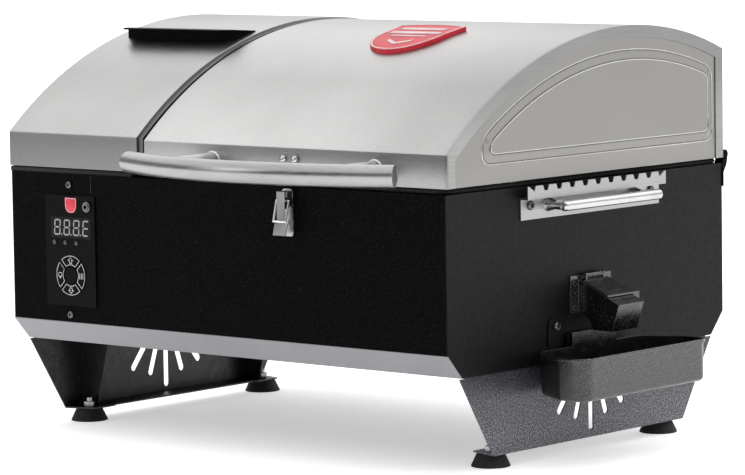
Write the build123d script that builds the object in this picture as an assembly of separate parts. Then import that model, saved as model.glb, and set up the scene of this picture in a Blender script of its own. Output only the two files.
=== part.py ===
from build123d import *
from math import atan2, cos, radians, sin, sqrt
import os

# Portable pellet grill. Millimetres, +Z up, front towards -Y, cook chamber on the right (+X).
# The model is drawn about the middle of the cabinet on the surface it stands on, and the last
# step moves it so that the origin is the centre of the whole grill's box on that surface.

# ---- driving dimensions: cabinet
CABINET_W = 560.0
CABINET_D = 429.0
PAN_Z = 90.5            # underside of the floor pan
WALL_Z = 112.5          # where the chamfers meet the upright walls
TOP_Z = 259.0           # top of the cabinet walls
CHAMFER = 20.0          # how far the chamfers run in
SHEET = 1.5
RIM = 14.0              # width of the flange turned in round the top
DIVIDER_X = -108.75     # middle of the wall between pellet bay and cook chamber

# ---- driving dimensions: lids
LID_SHEET = 1.2
LID_Z = 264.5           # lower edge of both lids
LID_R = 414.0           # radius of the curved top
LID_ARC_Y = 62.0
LID_ARC_Z = -12.5
HOPPER_RISE = 2.0       # the pellet lid stands a little higher than the cooking lid
MAIN_X0, MAIN_X1 = -96.5, 282.0
HOPPER_X0, HOPPER_X1 = -282.0, -106.5
END_BAND = 12.0         # sheet folded over the lid's end panels
SEAT_W = 11.0           # lower edge folded in, which the rope seal meets
SEAL_R = (LID_Z - TOP_Z) / 2
BOSS_IN, BOSS_BEVEL, BOSS_H, BOSS_CORNER = 23.0, 10.0, 2.5, 8.0

# ---- driving dimensions: lid hinges
HINGE_Y = CABINET_D / 2 + 5.5
HINGE_Z = 267.5
KNUCKLE_R = 4.5
PIN_R = 2.0
RUNNING = 0.06          # radial clearance of a turning fit
HINGE_W = 30.0
MAIN_HINGES = (-94.0, 251.0)
HOPPER_HINGES = (-281.0, -146.0)

# ---- driving dimensions: front handle, badge and latch
HANDLE_X, HANDLE_Z = 98.5, 279.5
HANDLE_HALF = 165.0
HANDLE_END_Y, HANDLE_MID_Y = -266.0, -302.0
HANDLE_R = 10.5
POST_DX, POST_R = 101.0, 8.0
BADGE_X = 94.5
LATCH_X = 89.0
LEVER_AXIS = (-221.0, 252.0)
LEVER_PIN_R, LEVER_HALF = 1.2, 5.0
EAR_X0, EAR_X1 = 5.3, 6.3
BAIL_AXIS = (-222.5, 246.5)
BAIL_LEAN = radians(14)
BAIL_HALF, BAIL_REACH, WIRE_R = 7.6, 20.0, 1.0

# ---- driving dimensions: control panel
PLATE_X, PLATE_W = -198.0, 67.5
PLATE_Z0, PLATE_Z1 = 128.5, 238.0
PLATE_T = 1.5
WINDOW_X, WINDOW_Z = (-224.5, -169.5), (195.5, 216.5)
LAMPS_X, LAMPS_Z = (-219.6, -204.6, -189.5), 191.0
JACK_X, JACK_Z, JACK_BORE, JACK_DEPTH = -174.0, 227.5, 1.8, 15.0
KEYS_X, KEYS_Z = -197.5, 158.8
CENTRE_KEY_R = 8.6
KEY_R_IN, KEY_R_OUT, KEY_GAP = 9.7, 20.0, 0.9
KEY_PLAY = 0.3

# ---- driving dimensions: right-hand side
RACK_HALF, RACK_Z0, RACK_Z1, RACK_OUT = 107.5, 227.7, 248.5, 8.5
TEETH, TOOTH_PITCH, TOOTH_BASE, TOOTH_TIP = 10, 20.0, 7.5, 5.2
NOTCH_Z, TOOTH_TOP_Z = 254.5, 259.5
GRIP_OUT, GRIP_Z, GRIP_HALF, GRIP_R = 26.0, 240.0, 76.0, 5.0
GRIP_POST_Y = 66.0
RACK_SCREW_Y, RACK_SCREW_Z = 93.5, 241.0
CHUTE_Y, CHUTE_W = -2.0, 39.0
FLAP_AXIS = (284.4, 168.4)
FLAP_PIN_R = 1.3
TRAY_Y, HANGER_Y = -14.0, -6.0
TRAY_Z0, TRAY_Z1 = 63.5, 104.0

# ---- driving dimensions: legs and feet
LEG_TOP_HALF, LEG_FOOT_HALF = 196.0, 148.0
LEG_Z = 12.6
LEG_X = 278.5
FOOT_X, FOOT_Y = 261.0, 131.0
FOOT_R0, FOOT_R1 = 19.0, 13.0
LEG_BOLT_Y = 108.0
LEG_GUSSET_Y = 123.0
SUN_Z, SLOT_W = 103.0, 7.5

# ---- driving dimensions: fire and feed
POT_X, POT_R = 90.0, 42.0
AUGER_Z, AUGER_BORE, AUGER_SHAFT_R = 135.0, 19.5, 5.0
GRATE_Z = 225.0
GUARD_Z, GUARD_BARS = 196.0, 6
POT_TOP_Z = 160.0
FAN_X, FAN_Y, FAN_Z0 = -175.0, 150.0, 96.0
FAN_SHAFT_R = 3.0

HALF_W = CABINET_W / 2
HALF_D = CABINET_D / 2
FRONT = -HALF_D


def block(x0, x1, y0, y1, z0, z1):
    """A rectangular solid between two corners."""
    return Pos((x0 + x1) / 2, (y0 + y1) / 2, (z0 + z1) / 2) * Box(x1 - x0, y1 - y0, z1 - z0)


def rod(start, end, r):
    """A round bar from one point to another."""
    a, b = Vector(start), Vector(end)
    return Plane(a, z_dir=b - a) * Cylinder(r, (b - a).length, align=(Align.CENTER, Align.CENTER, Align.MIN))


def tube(start, end, r, bore):
    return rod(start, end, r) - rod(start, end, bore)


def along_x(points, x0, x1):
    """A closed outline of (y, z) points, carried from x0 to x1."""
    face = make_face(Polyline(*[(x0, y, z) for y, z in points], close=True))
    return extrude(face, amount=x1 - x0, dir=(1, 0, 0))


def along_y(points, y0, y1):
    """A closed outline of (x, z) points, carried from y0 to y1."""
    face = make_face(Polyline(*[(x, y0, z) for x, z in points], close=True))
    return extrude(face, amount=y1 - y0, dir=(0, 1, 0))


def group(*solids):
    """Separate solids that share one node."""
    return Compound(children=[solid for shape in solids for solid in shape.solids()])


# ---------------------------------------------------------------- cabinet

def cabinet_section(inset):
    """End view of the cabinet: a rectangle with its two lower edges cut off."""
    d = HALF_D - inset
    lean = inset * (sqrt(CHAMFER ** 2 + (WALL_Z - PAN_Z) ** 2) - CHAMFER) / (WALL_Z - PAN_Z)
    pan = HALF_D - CHAMFER - lean
    wall = WALL_Z + inset * (sqrt(CHAMFER ** 2 + (WALL_Z - PAN_Z) ** 2) - (WALL_Z - PAN_Z)) / CHAMFER
    return [(-d, TOP_Z), (-d, wall), (-pan, PAN_Z + inset), (pan, PAN_Z + inset), (d, wall), (d, TOP_Z)]


def cabinet_wrap():
    """The sheet that goes round front, floor and back, as one open trough."""
    x = HALF_W - SHEET
    return along_x(cabinet_section(0), -x, x) - along_x(cabinet_section(SHEET), -x, x)


def front_panel():
    wall = cabinet_wrap() & block(-HALF_W, HALF_W, FRONT - 1, 0, WALL_Z, TOP_Z)
    rim = block(-HALF_W + SHEET, HALF_W - SHEET, FRONT + SHEET, FRONT + RIM, TOP_Z - SHEET, TOP_Z)
    window = block(PLATE_X - 28, PLATE_X + 29, FRONT - 1, FRONT + 3, PLATE_Z0 + 6, PLATE_Z1 - 3)
    return wall + rim - window


def back_panel():
    wall = cabinet_wrap() & block(-HALF_W, HALF_W, 0, HALF_D + 1, WALL_Z, TOP_Z)
    rim = block(-HALF_W + SHEET, HALF_W - SHEET, HALF_D - RIM, HALF_D - SHEET, TOP_Z - SHEET, TOP_Z)
    panel = wall + rim
    for i in range(9):
        panel -= block(-50 + 32 * i, -28 + 32 * i, HALF_D - 3, HALF_D + 1, 222, 230)
    return panel - block(-214, -186, HALF_D - 3, HALF_D + 1, 176, 196)


def floor_pan():
    pan = cabinet_wrap() & block(-HALF_W, HALF_W, FRONT, HALF_D, PAN_Z - 1, WALL_Z)
    for i in range(5):
        y = FAN_Y - 20 + 10 * i
        pan -= block(FAN_X - 22, FAN_X + 22, y - 2, y + 2, PAN_Z - 1, PAN_Z + 3)
    return pan


def side_panel(side):
    """Flat end wall with its top edge turned in; side is +1 on the right."""
    wall = along_x(cabinet_section(0), HALF_W - SHEET, HALF_W)
    rim = block(HALF_W - RIM, HALF_W - SHEET, FRONT + RIM, HALF_D - RIM, TOP_Z - SHEET, TOP_Z)
    panel = wall + rim
    if side > 0:
        return panel - block(HALF_W - 3, HALF_W + 1, CHUTE_Y - 15, CHUTE_Y + 15, 142, 162)
    return mirror(panel, about=Plane.YZ)


def front_trim_strip():
    """Bright strip that covers the front chamfer."""
    run = sqrt(CHAMFER ** 2 + (WALL_Z - PAN_Z) ** 2)
    ny, nz = -(WALL_Z - PAN_Z) / run, -CHAMFER / run
    lap = 1.0
    top, low = (FRONT, WALL_Z), (FRONT + CHAMFER, PAN_Z)
    proud_top = (top[0] + ny * lap, top[1] + nz * lap)
    proud_low = (low[0] + ny * lap, low[1] + nz * lap)
    return along_x([top, proud_top, proud_low, low], -HALF_W, HALF_W)


def divider_wall():
    wall = along_x(cabinet_section(SHEET), DIVIDER_X - SHEET / 2, DIVIDER_X + SHEET / 2)
    wall = wall & block(-HALF_W, HALF_W, -HALF_D, HALF_D, PAN_Z, TOP_Z - SHEET)
    cap = block(-118, -86, FRONT + RIM, HALF_D - RIM, TOP_Z - SHEET, TOP_Z)
    wall += cap
    wall -= rod((DIVIDER_X - 5, 0, AUGER_Z), (DIVIDER_X + 5, 0, AUGER_Z), AUGER_BORE + 2)
    wall -= rod((DIVIDER_X - 5, 0, 106), (DIVIDER_X + 5, 0, 106), 5.2)
    return wall - block(DIVIDER_X - 5, DIVIDER_X + 5, FAN_Y - 12, FAN_Y + 12, 104, 124)


def rim_seals():
    """Rope seal laid on the rim round the cook chamber, and pads under the pellet lid."""
    z, y = TOP_Z + SEAL_R, HALF_D - SEAL_R - 1.0
    x0, x1 = MAIN_X0 + 7, HALF_W - SEAL_R - 1.5
    path = Plane.XY.offset(z) * Pos((x0 + x1) / 2, 0) * RectangleRounded(x1 - x0, 2 * y, 10)
    start = Plane(((x0 + x1) / 2, -y, z), z_dir=(1, 0, 0))
    rope = sweep(start * Circle(SEAL_R), path=path.wire())
    pads = []
    for x in (HOPPER_X0 + 14, HOPPER_X1 - 15):
        for pad_y in (-y + 3, y - 3):
            pads.append(rod((x, pad_y, TOP_Z), (x, pad_y, LID_Z), 4.0))
    return group(rope, *pads)


# ---------------------------------------------------------------- lids

def lid_section(inset, bottom, rise=0.0):
    """End view of a lid: upright front lip, one large arc, upright back."""
    r = LID_R + rise - inset
    y0, y1 = FRONT + inset, HALF_D - inset
    z0 = LID_ARC_Z + sqrt(r ** 2 - (y0 - LID_ARC_Y) ** 2)
    z1 = LID_ARC_Z + sqrt(r ** 2 - (y1 - LID_ARC_Y) ** 2)
    return [
        Line((0, y0, bottom), (0, y0, z0)),
        ThreePointArc((0, y0, z0), (0, LID_ARC_Y, LID_ARC_Z + r), (0, y1, z1)),
        Line((0, y1, z1), (0, y1, bottom)),
        Line((0, y1, bottom), (0, y0, bottom)),
    ]


def lid_solid(inset, bottom, x0, x1, rise=0.0):
    face = make_face(Wire(lid_section(inset, bottom, rise)))
    return Pos(x0, 0, 0) * extrude(face, amount=x1 - x0, dir=(1, 0, 0))


def lid_skin(x0, x1, rise=0.0):
    """Curved sheet whose two ends are folded in as narrow bands."""
    t = LID_SHEET
    skin = lid_solid(0, LID_Z, x0, x1, rise)
    skin -= lid_solid(t, LID_Z - 5, x0 + t, x1 - t, rise)
    skin -= lid_solid(END_BAND, LID_Z - 5, x0 - 1, x1 + 1, rise)
    for side in (-1, 1):
        wall = side * (HALF_D - t / 2)
        seat = side * (HALF_D - SEAT_W)
        skin += block(x0 + 2 * t, x1 - 2 * t, min(wall, seat), max(wall, seat), LID_Z, LID_Z + t)
    return skin


def boss_face(inset, x):
    """Outline of the pressed panel in a lid end, corners rounded."""
    r = LID_R - inset
    y0, y1, z0 = -163.0 + (inset - BOSS_IN), HALF_D - 18 - (inset - BOSS_IN), 282.5 + (inset - BOSS_IN)
    start = LID_ARC_Z + sqrt(r ** 2 - (y0 - LID_ARC_Y) ** 2)
    end = LID_ARC_Z + sqrt(r ** 2 - (y1 - LID_ARC_Y) ** 2)
    outline = Wire([
        Line((x, y0, z0), (x, y0, start)),
        ThreePointArc((x, y0, start), (x, LID_ARC_Y, LID_ARC_Z + r), (x, y1, end)),
        Line((x, y1, end), (x, y1, z0)),
        Line((x, y1, z0), (x, y0, z0)),
    ])
    face = make_face(outline)
    return fillet(face.vertices(), BOSS_CORNER - 0.45 * (inset - BOSS_IN))


def lid_end(x_face, outward, boss=True, rise=0.0):
    """End panel behind the folded band; outward is +1 when it faces +X."""
    t = LID_SHEET
    inner = x_face - outward * t
    outer = inner - outward * t
    panel = lid_solid(t, LID_Z, min(inner, outer), max(inner, outer), rise)
    if not boss:
        return panel
    raised = loft([boss_face(BOSS_IN, inner), boss_face(BOSS_IN + BOSS_BEVEL, inner + outward * BOSS_H)])
    hollow = loft([boss_face(BOSS_IN, outer), boss_face(BOSS_IN + BOSS_BEVEL, outer + outward * BOSS_H)])
    return panel + raised - hollow


def hopper_lid_lip():
    """Bent strip on the pellet lid that a hand lifts it by."""
    y_web, z_web, z_top, t = -62.0, 384.0, 395.5, 1.5
    reach = 16.0
    x0, x1 = -262.0, -114.0
    web = block(x0, x1, y_web, y_web + t, z_web - 4, z_top)
    flange = block(x0, x1, y_web - reach, y_web + t, z_top - t, z_top)
    flange = chamfer(flange.edges().filter_by(Axis.Z).group_by(Axis.Y)[0], 9)
    gusset = along_x([(y_web, z_web - 4), (y_web, z_top), (y_web + 30, z_top - 2), (y_web + 30, z_web)],
                     x1 - t, x1)
    strip = web + flange + gusset
    return strip - lid_solid(0, LID_Z, HOPPER_X0 - 5, HOPPER_X1 + 5, HOPPER_RISE)


def hinge_base(x):
    """Fixed leaf with two outer knuckles, and its pin."""
    third = HINGE_W / 3
    leaf = block(x, x + HINGE_W, HALF_D, HALF_D + 2, 236, 256)
    for start in (x, x + 2 * third):
        stop = start + third - 0.4
        arm = along_x([(HALF_D, 246), (HALF_D + 7.5, 257), (HINGE_Y + KNUCKLE_R - 0.1, HINGE_Z),
                       (HALF_D + 1.2, HINGE_Z), (HALF_D + 1.2, 261), (HALF_D, 261)], start, stop)
        leaf += arm + rod((start, HINGE_Y, HINGE_Z), (stop, HINGE_Y, HINGE_Z), KNUCKLE_R)
        leaf -= rod((start - 1, HINGE_Y, HINGE_Z), (start + third + 1, HINGE_Y, HINGE_Z), PIN_R)
    pin = rod((x - 0.8, HINGE_Y, HINGE_Z), (x + HINGE_W, HINGE_Y, HINGE_Z), PIN_R)
    head = rod((x - 2.0, HINGE_Y, HINGE_Z), (x - 0.0, HINGE_Y, HINGE_Z), PIN_R + 1.2)
    return [leaf, pin + head]


def hinge_leaf(x):
    """Leaf on the lid's back, with the middle knuckle."""
    third = HINGE_W / 3
    x0, x1 = x + third + 0.2, x + 2 * third - 0.6
    leaf = block(x + 3, x + HINGE_W - 8, HALF_D, HALF_D + 2, HINGE_Z + 6, HINGE_Z + 26)
    link = block(x0, x1, HALF_D + 0.6, HALF_D + 2.6, HINGE_Z, HINGE_Z + 7)
    leaf += link + rod((x0, HINGE_Y, HINGE_Z), (x1, HINGE_Y, HINGE_Z), KNUCKLE_R)
    return leaf - rod((x0 - 1, HINGE_Y, HINGE_Z), (x1 + 1, HINGE_Y, HINGE_Z), PIN_R + RUNNING)


# ---------------------------------------------------------------- front handle and badge

def handle_arc():
    left = (HANDLE_X - HANDLE_HALF, HANDLE_END_Y, HANDLE_Z)
    right = (HANDLE_X + HANDLE_HALF, HANDLE_END_Y, HANDLE_Z)
    return ThreePointArc(left, (HANDLE_X, HANDLE_MID_Y, HANDLE_Z), right)


def handle_bar(r):
    path = handle_arc()
    return sweep(Plane(path @ 0, z_dir=path % 0) * Circle(r), path=path)


def lid_handle_tube():
    return handle_bar(HANDLE_R) - handle_bar(HANDLE_R - 1.5)


def lid_handle_caps():
    """Plug in each end of the handle tube, set in slightly."""
    path = handle_arc()
    caps = []
    for end, inward in ((path @ 0, path % 0), (path @ 1, -(path % 1))):
        start = end + inward * 0.6
        caps.append(rod(start, start + inward * 4, HANDLE_R - 1.6))
    return group(*caps)


def lid_handle_posts():
    """Two standoffs, each with a collar against the lid."""
    pieces = []
    sag = HANDLE_END_Y - HANDLE_MID_Y
    arc_r = (HANDLE_HALF ** 2 + sag ** 2) / (2 * sag)
    tube_y = HANDLE_MID_Y + arc_r - sqrt(arc_r ** 2 - POST_DX ** 2)
    for side in (-1, 1):
        x = HANDLE_X + side * POST_DX
        post = rod((x, FRONT, HANDLE_Z), (x, tube_y, HANDLE_Z), POST_R)
        ring = tube((x, FRONT, HANDLE_Z), (x, FRONT - 6, HANDLE_Z), POST_R + 2, POST_R)
        edges = ring.edges().filter_by(GeomType.CIRCLE).group_by(Axis.Y)[0]
        pieces += [post - handle_bar(HANDLE_R), fillet(edges.sort_by(SortBy.LENGTH)[-1], 1.5)]
    return group(*pieces)


def badge():
    """Blank shield-shaped plate that follows the curve of the lid."""
    w, corner_y, side_y, tip_y = 40.8, -4.0, -36.0, -79.5
    outline = Wire([
        ThreePointArc((-w, corner_y, 0), (0, corner_y + 6, 0), (w, corner_y, 0)),
        Line((w, corner_y, 0), (w - 1.5, side_y, 0)),
        ThreePointArc((w - 1.5, side_y, 0), (w * 0.74, tip_y + 15, 0), (0, tip_y, 0)),
        ThreePointArc((0, tip_y, 0), (-w * 0.74, tip_y + 15, 0), (-w + 1.5, side_y, 0)),
        Line((-w + 1.5, side_y, 0), (-w, corner_y, 0)),
    ])
    column = Pos(BADGE_X, 0, 340) * extrude(make_face(outline), amount=90, dir=(0, 0, 1))
    over = rod((BADGE_X - 60, LID_ARC_Y, LID_ARC_Z), (BADGE_X + 60, LID_ARC_Y, LID_ARC_Z), LID_R + 4)
    under = rod((BADGE_X - 60, LID_ARC_Y, LID_ARC_Z), (BADGE_X + 60, LID_ARC_Y, LID_ARC_Z), LID_R)
    return (column & over) - under


# ---------------------------------------------------------------- latch

def latch_base():
    """Riveted plate with two round-nosed ears and the lever's pin."""
    plate = block(LATCH_X - 6.5, LATCH_X + 6.5, FRONT - 1.2, FRONT, 212.5, 257)
    plate = fillet(plate.edges().filter_by(Axis.Y), 3)
    y, z = LEVER_AXIS
    for side in (-1, 1):
        x0, x1 = sorted((LATCH_X + side * EAR_X0, LATCH_X + side * EAR_X1))
        ear = block(x0, x1, y, FRONT - 1, z - 3, z + 3) + rod((x0, y, z), (x1, y, z), 3)
        plate += ear - rod((x0 - 1, y, z), (x1 + 1, y, z), LEVER_PIN_R)
    pin = rod((LATCH_X - EAR_X1, y, z), (LATCH_X + EAR_X1, y, z), LEVER_PIN_R)
    rivets = [rod((LATCH_X + 3.6, FRONT - 1.2, zz), (LATCH_X + 3.6, FRONT - 2.4, zz), 2.6) for zz in (218, 226)]
    return group(plate, pin, *rivets)


def latch_lever():
    """Pressed lever: channel on the pin, long face plate and flared finger tab."""
    y, z = LEVER_AXIS
    t = 0.9
    face_y = y - 4.4
    lever = block(LATCH_X - LEVER_HALF, LATCH_X + LEVER_HALF, face_y, face_y + t, 224, z + 3)
    lever += along_x([(face_y, 225), (face_y + t, 225), (face_y + t - 2.8, 214), (face_y - 2.8, 214)],
                     LATCH_X - 8, LATCH_X + 8)
    for side in (-1, 1):
        x = LATCH_X + side * (LEVER_HALF - t / 2)
        lever += block(x - t / 2, x + t / 2, face_y, y + 2.2, 239, z + 3)
    lever -= rod((LATCH_X - 10, y, z), (LATCH_X + 10, y, z), LEVER_PIN_R + RUNNING)
    return lever - rod((LATCH_X - 10, *BAIL_AXIS), (LATCH_X + 10, *BAIL_AXIS), WIRE_R + RUNNING)


def latch_bail():
    """Wire loop that hangs round the lever, closed end down and a little outwards."""
    y, z = BAIL_AXIS
    end_y, end_z = y - BAIL_REACH * sin(BAIL_LEAN), z - BAIL_REACH * cos(BAIL_LEAN)
    loop = rod((LATCH_X - BAIL_HALF, end_y, end_z), (LATCH_X + BAIL_HALF, end_y, end_z), WIRE_R)
    for side in (-1, 1):
        x = LATCH_X + side * BAIL_HALF
        loop += rod((x, y, z), (x, end_y, end_z), WIRE_R)
        loop += Pos(x, end_y, end_z) * Sphere(WIRE_R)
        loop += Pos(x, y, z) * Sphere(WIRE_R)
        loop += rod((x, y, z), (LATCH_X + side * (LEVER_HALF - 2.4), y, z), WIRE_R)
    return loop


def latch_catch():
    """Plate with a hook for the wire loop, riveted to the lid's front lip."""
    x = LATCH_X + 2
    plate = block(x - 12, x + 12, FRONT - 1.0, FRONT, 265, 291)
    plate = fillet(plate.edges().filter_by(Axis.Y).group_by(Axis.Z)[-1], 7)
    hook = along_x([(FRONT - 1, 265), (FRONT - 1, 266.2), (FRONT - 3.8, 266.2), (FRONT - 4.2, 270),
                    (FRONT - 5.2, 270), (FRONT - 4.8, 265)], LATCH_X - 5.5, LATCH_X + 5.5)
    rivets = [rod((x + s * 7, FRONT - 1, 285), (x + s * 7, FRONT - 2.6, 285), 3.0) for s in (-1, 1)]
    return group(plate + hook, *rivets)


# ---------------------------------------------------------------- control panel

def key_shape(turn, y0, y1, play):
    """A quarter of the ring of keys, facing the direction turn (degrees, 0 is right)."""
    ring = tube((KEYS_X, y0, KEYS_Z), (KEYS_X, y1, KEYS_Z), KEY_R_OUT - play, KEY_R_IN + play)
    along = Vector(cos(radians(turn)), 0, sin(radians(turn)))
    apex = Vector(KEYS_X, 0, KEYS_Z) + along * ((KEY_GAP + play) * sqrt(2))
    ends = [apex + Vector(cos(radians(turn + a)), 0, sin(radians(turn + a))) * 40 for a in (45, -45)]
    return ring & along_y([(p.X, p.Z) for p in (apex, *ends)], y0 - 1, y1 + 1)


def ring_key(turn):
    return key_shape(turn, FRONT - PLATE_T - 1.0, FRONT + 1.5, KEY_PLAY)


def centre_key():
    face, back = (KEYS_X, FRONT - PLATE_T - 1.0, KEYS_Z), (KEYS_X, FRONT + 1.5, KEYS_Z)
    return rod(face, back, CENTRE_KEY_R - KEY_PLAY)


def control_faceplate():
    x0, x1 = PLATE_X - PLATE_W / 2, PLATE_X + PLATE_W / 2
    plate = block(x0, x1, FRONT - PLATE_T, FRONT, PLATE_Z0, PLATE_Z1)
    plate = fillet(plate.edges().filter_by(Axis.Y), 2)
    for turn in (0, 90, 180, 270):
        plate -= key_shape(turn, FRONT - 5, FRONT + 5, 0)
    plate -= rod((KEYS_X, FRONT - 5, KEYS_Z), (KEYS_X, FRONT + 5, KEYS_Z), CENTRE_KEY_R)
    plate -= block(*WINDOW_X, FRONT - PLATE_T - 1, FRONT + 1, *WINDOW_Z)
    for x in LAMPS_X:
        plate -= rod((x, FRONT - 5, LAMPS_Z), (x, FRONT + 5, LAMPS_Z), 1.8)
    return plate - rod((JACK_X, FRONT - 5, JACK_Z), (JACK_X, FRONT + 5, JACK_Z), 3.6)


def display_and_lamps():
    """Display window and the three indicator lenses beneath it."""
    window = block(*WINDOW_X, FRONT - PLATE_T - 0.2, FRONT, *WINDOW_Z)
    lamps = [rod((x, FRONT, LAMPS_Z), (x, FRONT - PLATE_T - 0.5, LAMPS_Z), 1.8) for x in LAMPS_X]
    return group(window, *lamps)


def probe_jack():
    """Socket for the meat probe: threaded barrel with a round nut."""
    mouth = FRONT - PLATE_T - 3
    barrel = rod((JACK_X, FRONT + 13, JACK_Z), (JACK_X, mouth, JACK_Z), 3.6)
    nut = rod((JACK_X, FRONT - PLATE_T, JACK_Z), (JACK_X, FRONT - PLATE_T - 1.8, JACK_Z), 5.2)
    return barrel + nut - rod((JACK_X, mouth + JACK_DEPTH, JACK_Z), (JACK_X, mouth - 1, JACK_Z), JACK_BORE)


def controller_box():
    """Housing of the controller behind the front panel."""
    back = FRONT + SHEET
    flange = block(PLATE_X - 31, PLATE_X + 31, back, back + 1.5, PLATE_Z0 + 2, PLATE_Z1)
    body = block(PLATE_X - 28, PLATE_X + 28, back, back + 35, PLATE_Z0 + 5, PLATE_Z1 - 2)
    pocket = block(PLATE_X - 26, PLATE_X + 26, back - 1, back + 3, PLATE_Z0 + 7, PLATE_Z1 - 4)
    return flange + body - pocket - rod((JACK_X, FRONT, JACK_Z), (JACK_X, FRONT + 20, JACK_Z), 3.8)


# ---------------------------------------------------------------- right-hand side

def tool_rack():
    """Plate on the wall, ledge folded out, and a toothed edge to hang tools from."""
    x0 = HALF_W
    plate = block(x0, x0 + SHEET, -RACK_HALF, RACK_HALF, RACK_Z0, RACK_Z1)
    ledge = block(x0, x0 + RACK_OUT + SHEET, -RACK_HALF, RACK_HALF, RACK_Z1 - SHEET, RACK_Z1)
    edge = [(-RACK_HALF, RACK_Z1 - SHEET), (-RACK_HALF, TOOTH_TOP_Z), (-RACK_HALF + 2, TOOTH_TOP_Z)]
    for i in range(TEETH):
        y = (i - (TEETH - 1) / 2) * TOOTH_PITCH
        edge += [(y - TOOTH_BASE, NOTCH_Z), (y - TOOTH_TIP, TOOTH_TOP_Z)]
        edge += [(y + TOOTH_TIP, TOOTH_TOP_Z), (y + TOOTH_BASE, NOTCH_Z)]
    edge += [(RACK_HALF - 2, TOOTH_TOP_Z), (RACK_HALF, TOOTH_TOP_Z), (RACK_HALF, RACK_Z1 - SHEET)]
    teeth = along_x(edge, x0 + RACK_OUT, x0 + RACK_OUT + SHEET)
    rack = plate + ledge + teeth
    for y in (-RACK_SCREW_Y, RACK_SCREW_Y):
        rack -= rod((x0 - 1, y, RACK_SCREW_Z), (x0 + 4, y, RACK_SCREW_Z), 2.0)
    return rack


def grip_bar(side):
    x = side * (HALF_W + GRIP_OUT)
    bar = rod((x, -GRIP_HALF, GRIP_Z), (x, GRIP_HALF, GRIP_Z), GRIP_R)
    return fillet(bar.edges().filter_by(GeomType.CIRCLE), 3.0)


def grip_post(side, y):
    """Flared standoff from the wall to the bar."""
    seat = HALF_W + SHEET if side > 0 else HALF_W
    x0, x1 = side * seat, side * (HALF_W + GRIP_OUT)
    plane = Plane((x0, y, GRIP_Z), z_dir=(side, 0, 0))
    flare = plane * Cone(6.9, 4.6, 8, align=(Align.CENTER, Align.CENTER, Align.MIN))
    neck = rod((x0, y, GRIP_Z), (x1, y, GRIP_Z), 4.6)
    return flare + neck - grip_bar(side)


def side_handle_bars():
    return group(grip_bar(-1), grip_bar(1))


def side_handle_posts():
    return group(*[grip_post(side, y) for side in (-1, 1) for y in (-GRIP_POST_Y, GRIP_POST_Y)])


def chute_top(x):
    return 165.4 - 0.4548 * (x - 281.5)


def grease_chute():
    """Open-bottomed spout on the wall, two ears and the pin for its flap."""
    y0, y1 = CHUTE_Y - CHUTE_W / 2, CHUTE_Y + CHUTE_W / 2
    wall = HALF_W + SHEET
    chute = block(HALF_W, wall, y0 - 12, y1 + 12, 134, 169)
    chute -= block(HALF_W - 1, wall + 1, CHUTE_Y - 15, CHUTE_Y + 15, 142, 162)
    side = [(wall, 134), (294, 128), (298, 118), (321, 118), (329, chute_top(329)), (wall, chute_top(wall))]
    for y in (y0, y1 - SHEET):
        chute += along_y(side, y, y + SHEET)
    chute += along_y([(321, 118), (329, chute_top(329)), (327.4, chute_top(329)), (319.4, 118)], y0, y1)
    chute += along_y([(314, chute_top(314)), (329, chute_top(329)), (329, chute_top(329) - 1.5),
                      (314, chute_top(314) - 1.5)], y0, y1)
    x, z = FLAP_AXIS
    for y in (CHUTE_Y - 14.5, CHUTE_Y + 12.5):
        chute += block(wall, x + 2.6, y, y + 2, z - 5, z + 2.6)
    chute -= rod((x, y0, z), (x, y1, z), FLAP_PIN_R)
    pin = rod((x, CHUTE_Y - 16.5, z), (x, CHUTE_Y + 14.5, z), FLAP_PIN_R)
    rivets = []
    for y in (y0 - 6.5, y1 + 6.5):
        for z_rivet in (139, 162):
            rivets.append(rod((wall, y, z_rivet), (wall + 1.4, y, z_rivet), 2.4))
    return group(chute, pin, *rivets)


def chute_flap():
    """Hinged cover with a finger tab on its rear corner."""
    x, z = FLAP_AXIS
    half = CHUTE_W / 2
    top = [(x, chute_top(x) + 0.9), (x + 32, chute_top(x + 32) + 0.9),
           (x + 32, chute_top(x + 32) + 2.5), (x, chute_top(x) + 2.5)]
    flap = along_y(top, CHUTE_Y - half, CHUTE_Y + half)
    flap -= block(x - 5, x + 4.2, CHUTE_Y - half - 1, CHUTE_Y - 12.1, 150, 180)
    flap -= block(x - 5, x + 4.2, CHUTE_Y + 12.1, CHUTE_Y + half + 1, 150, 180)
    tab = along_y(top, CHUTE_Y + half - 1, CHUTE_Y + half + 10) & block(x + 18, x + 40, -99, 99, 0, 400)
    lip = block(x + 30.5, x + 32, CHUTE_Y + half + 0.5, CHUTE_Y + half + 10, 145.5, chute_top(x + 32) + 1.5)
    knuckle = rod((x, CHUTE_Y - 12.1, z), (x, CHUTE_Y + 12.1, z), 2.6)
    return flap + tab + lip + knuckle - rod((x, -40, z), (x, 40, z), FLAP_PIN_R + RUNNING)


def tray_plan(grow, z):
    """Outline of the drip tray at one height; grow moves it outwards."""
    near, far = 287.0, 356.5
    points = [(near, TRAY_Y - 76), (325, TRAY_Y - 98), (far, TRAY_Y - 98),
              (far, TRAY_Y + 98), (325, TRAY_Y + 98), (near, TRAY_Y + 76)]
    face = make_face(Polyline(*[(x, y, z) for x, y in points], close=True))
    face = fillet(face.vertices(), 14)
    return offset(face, grow) if grow else face


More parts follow.
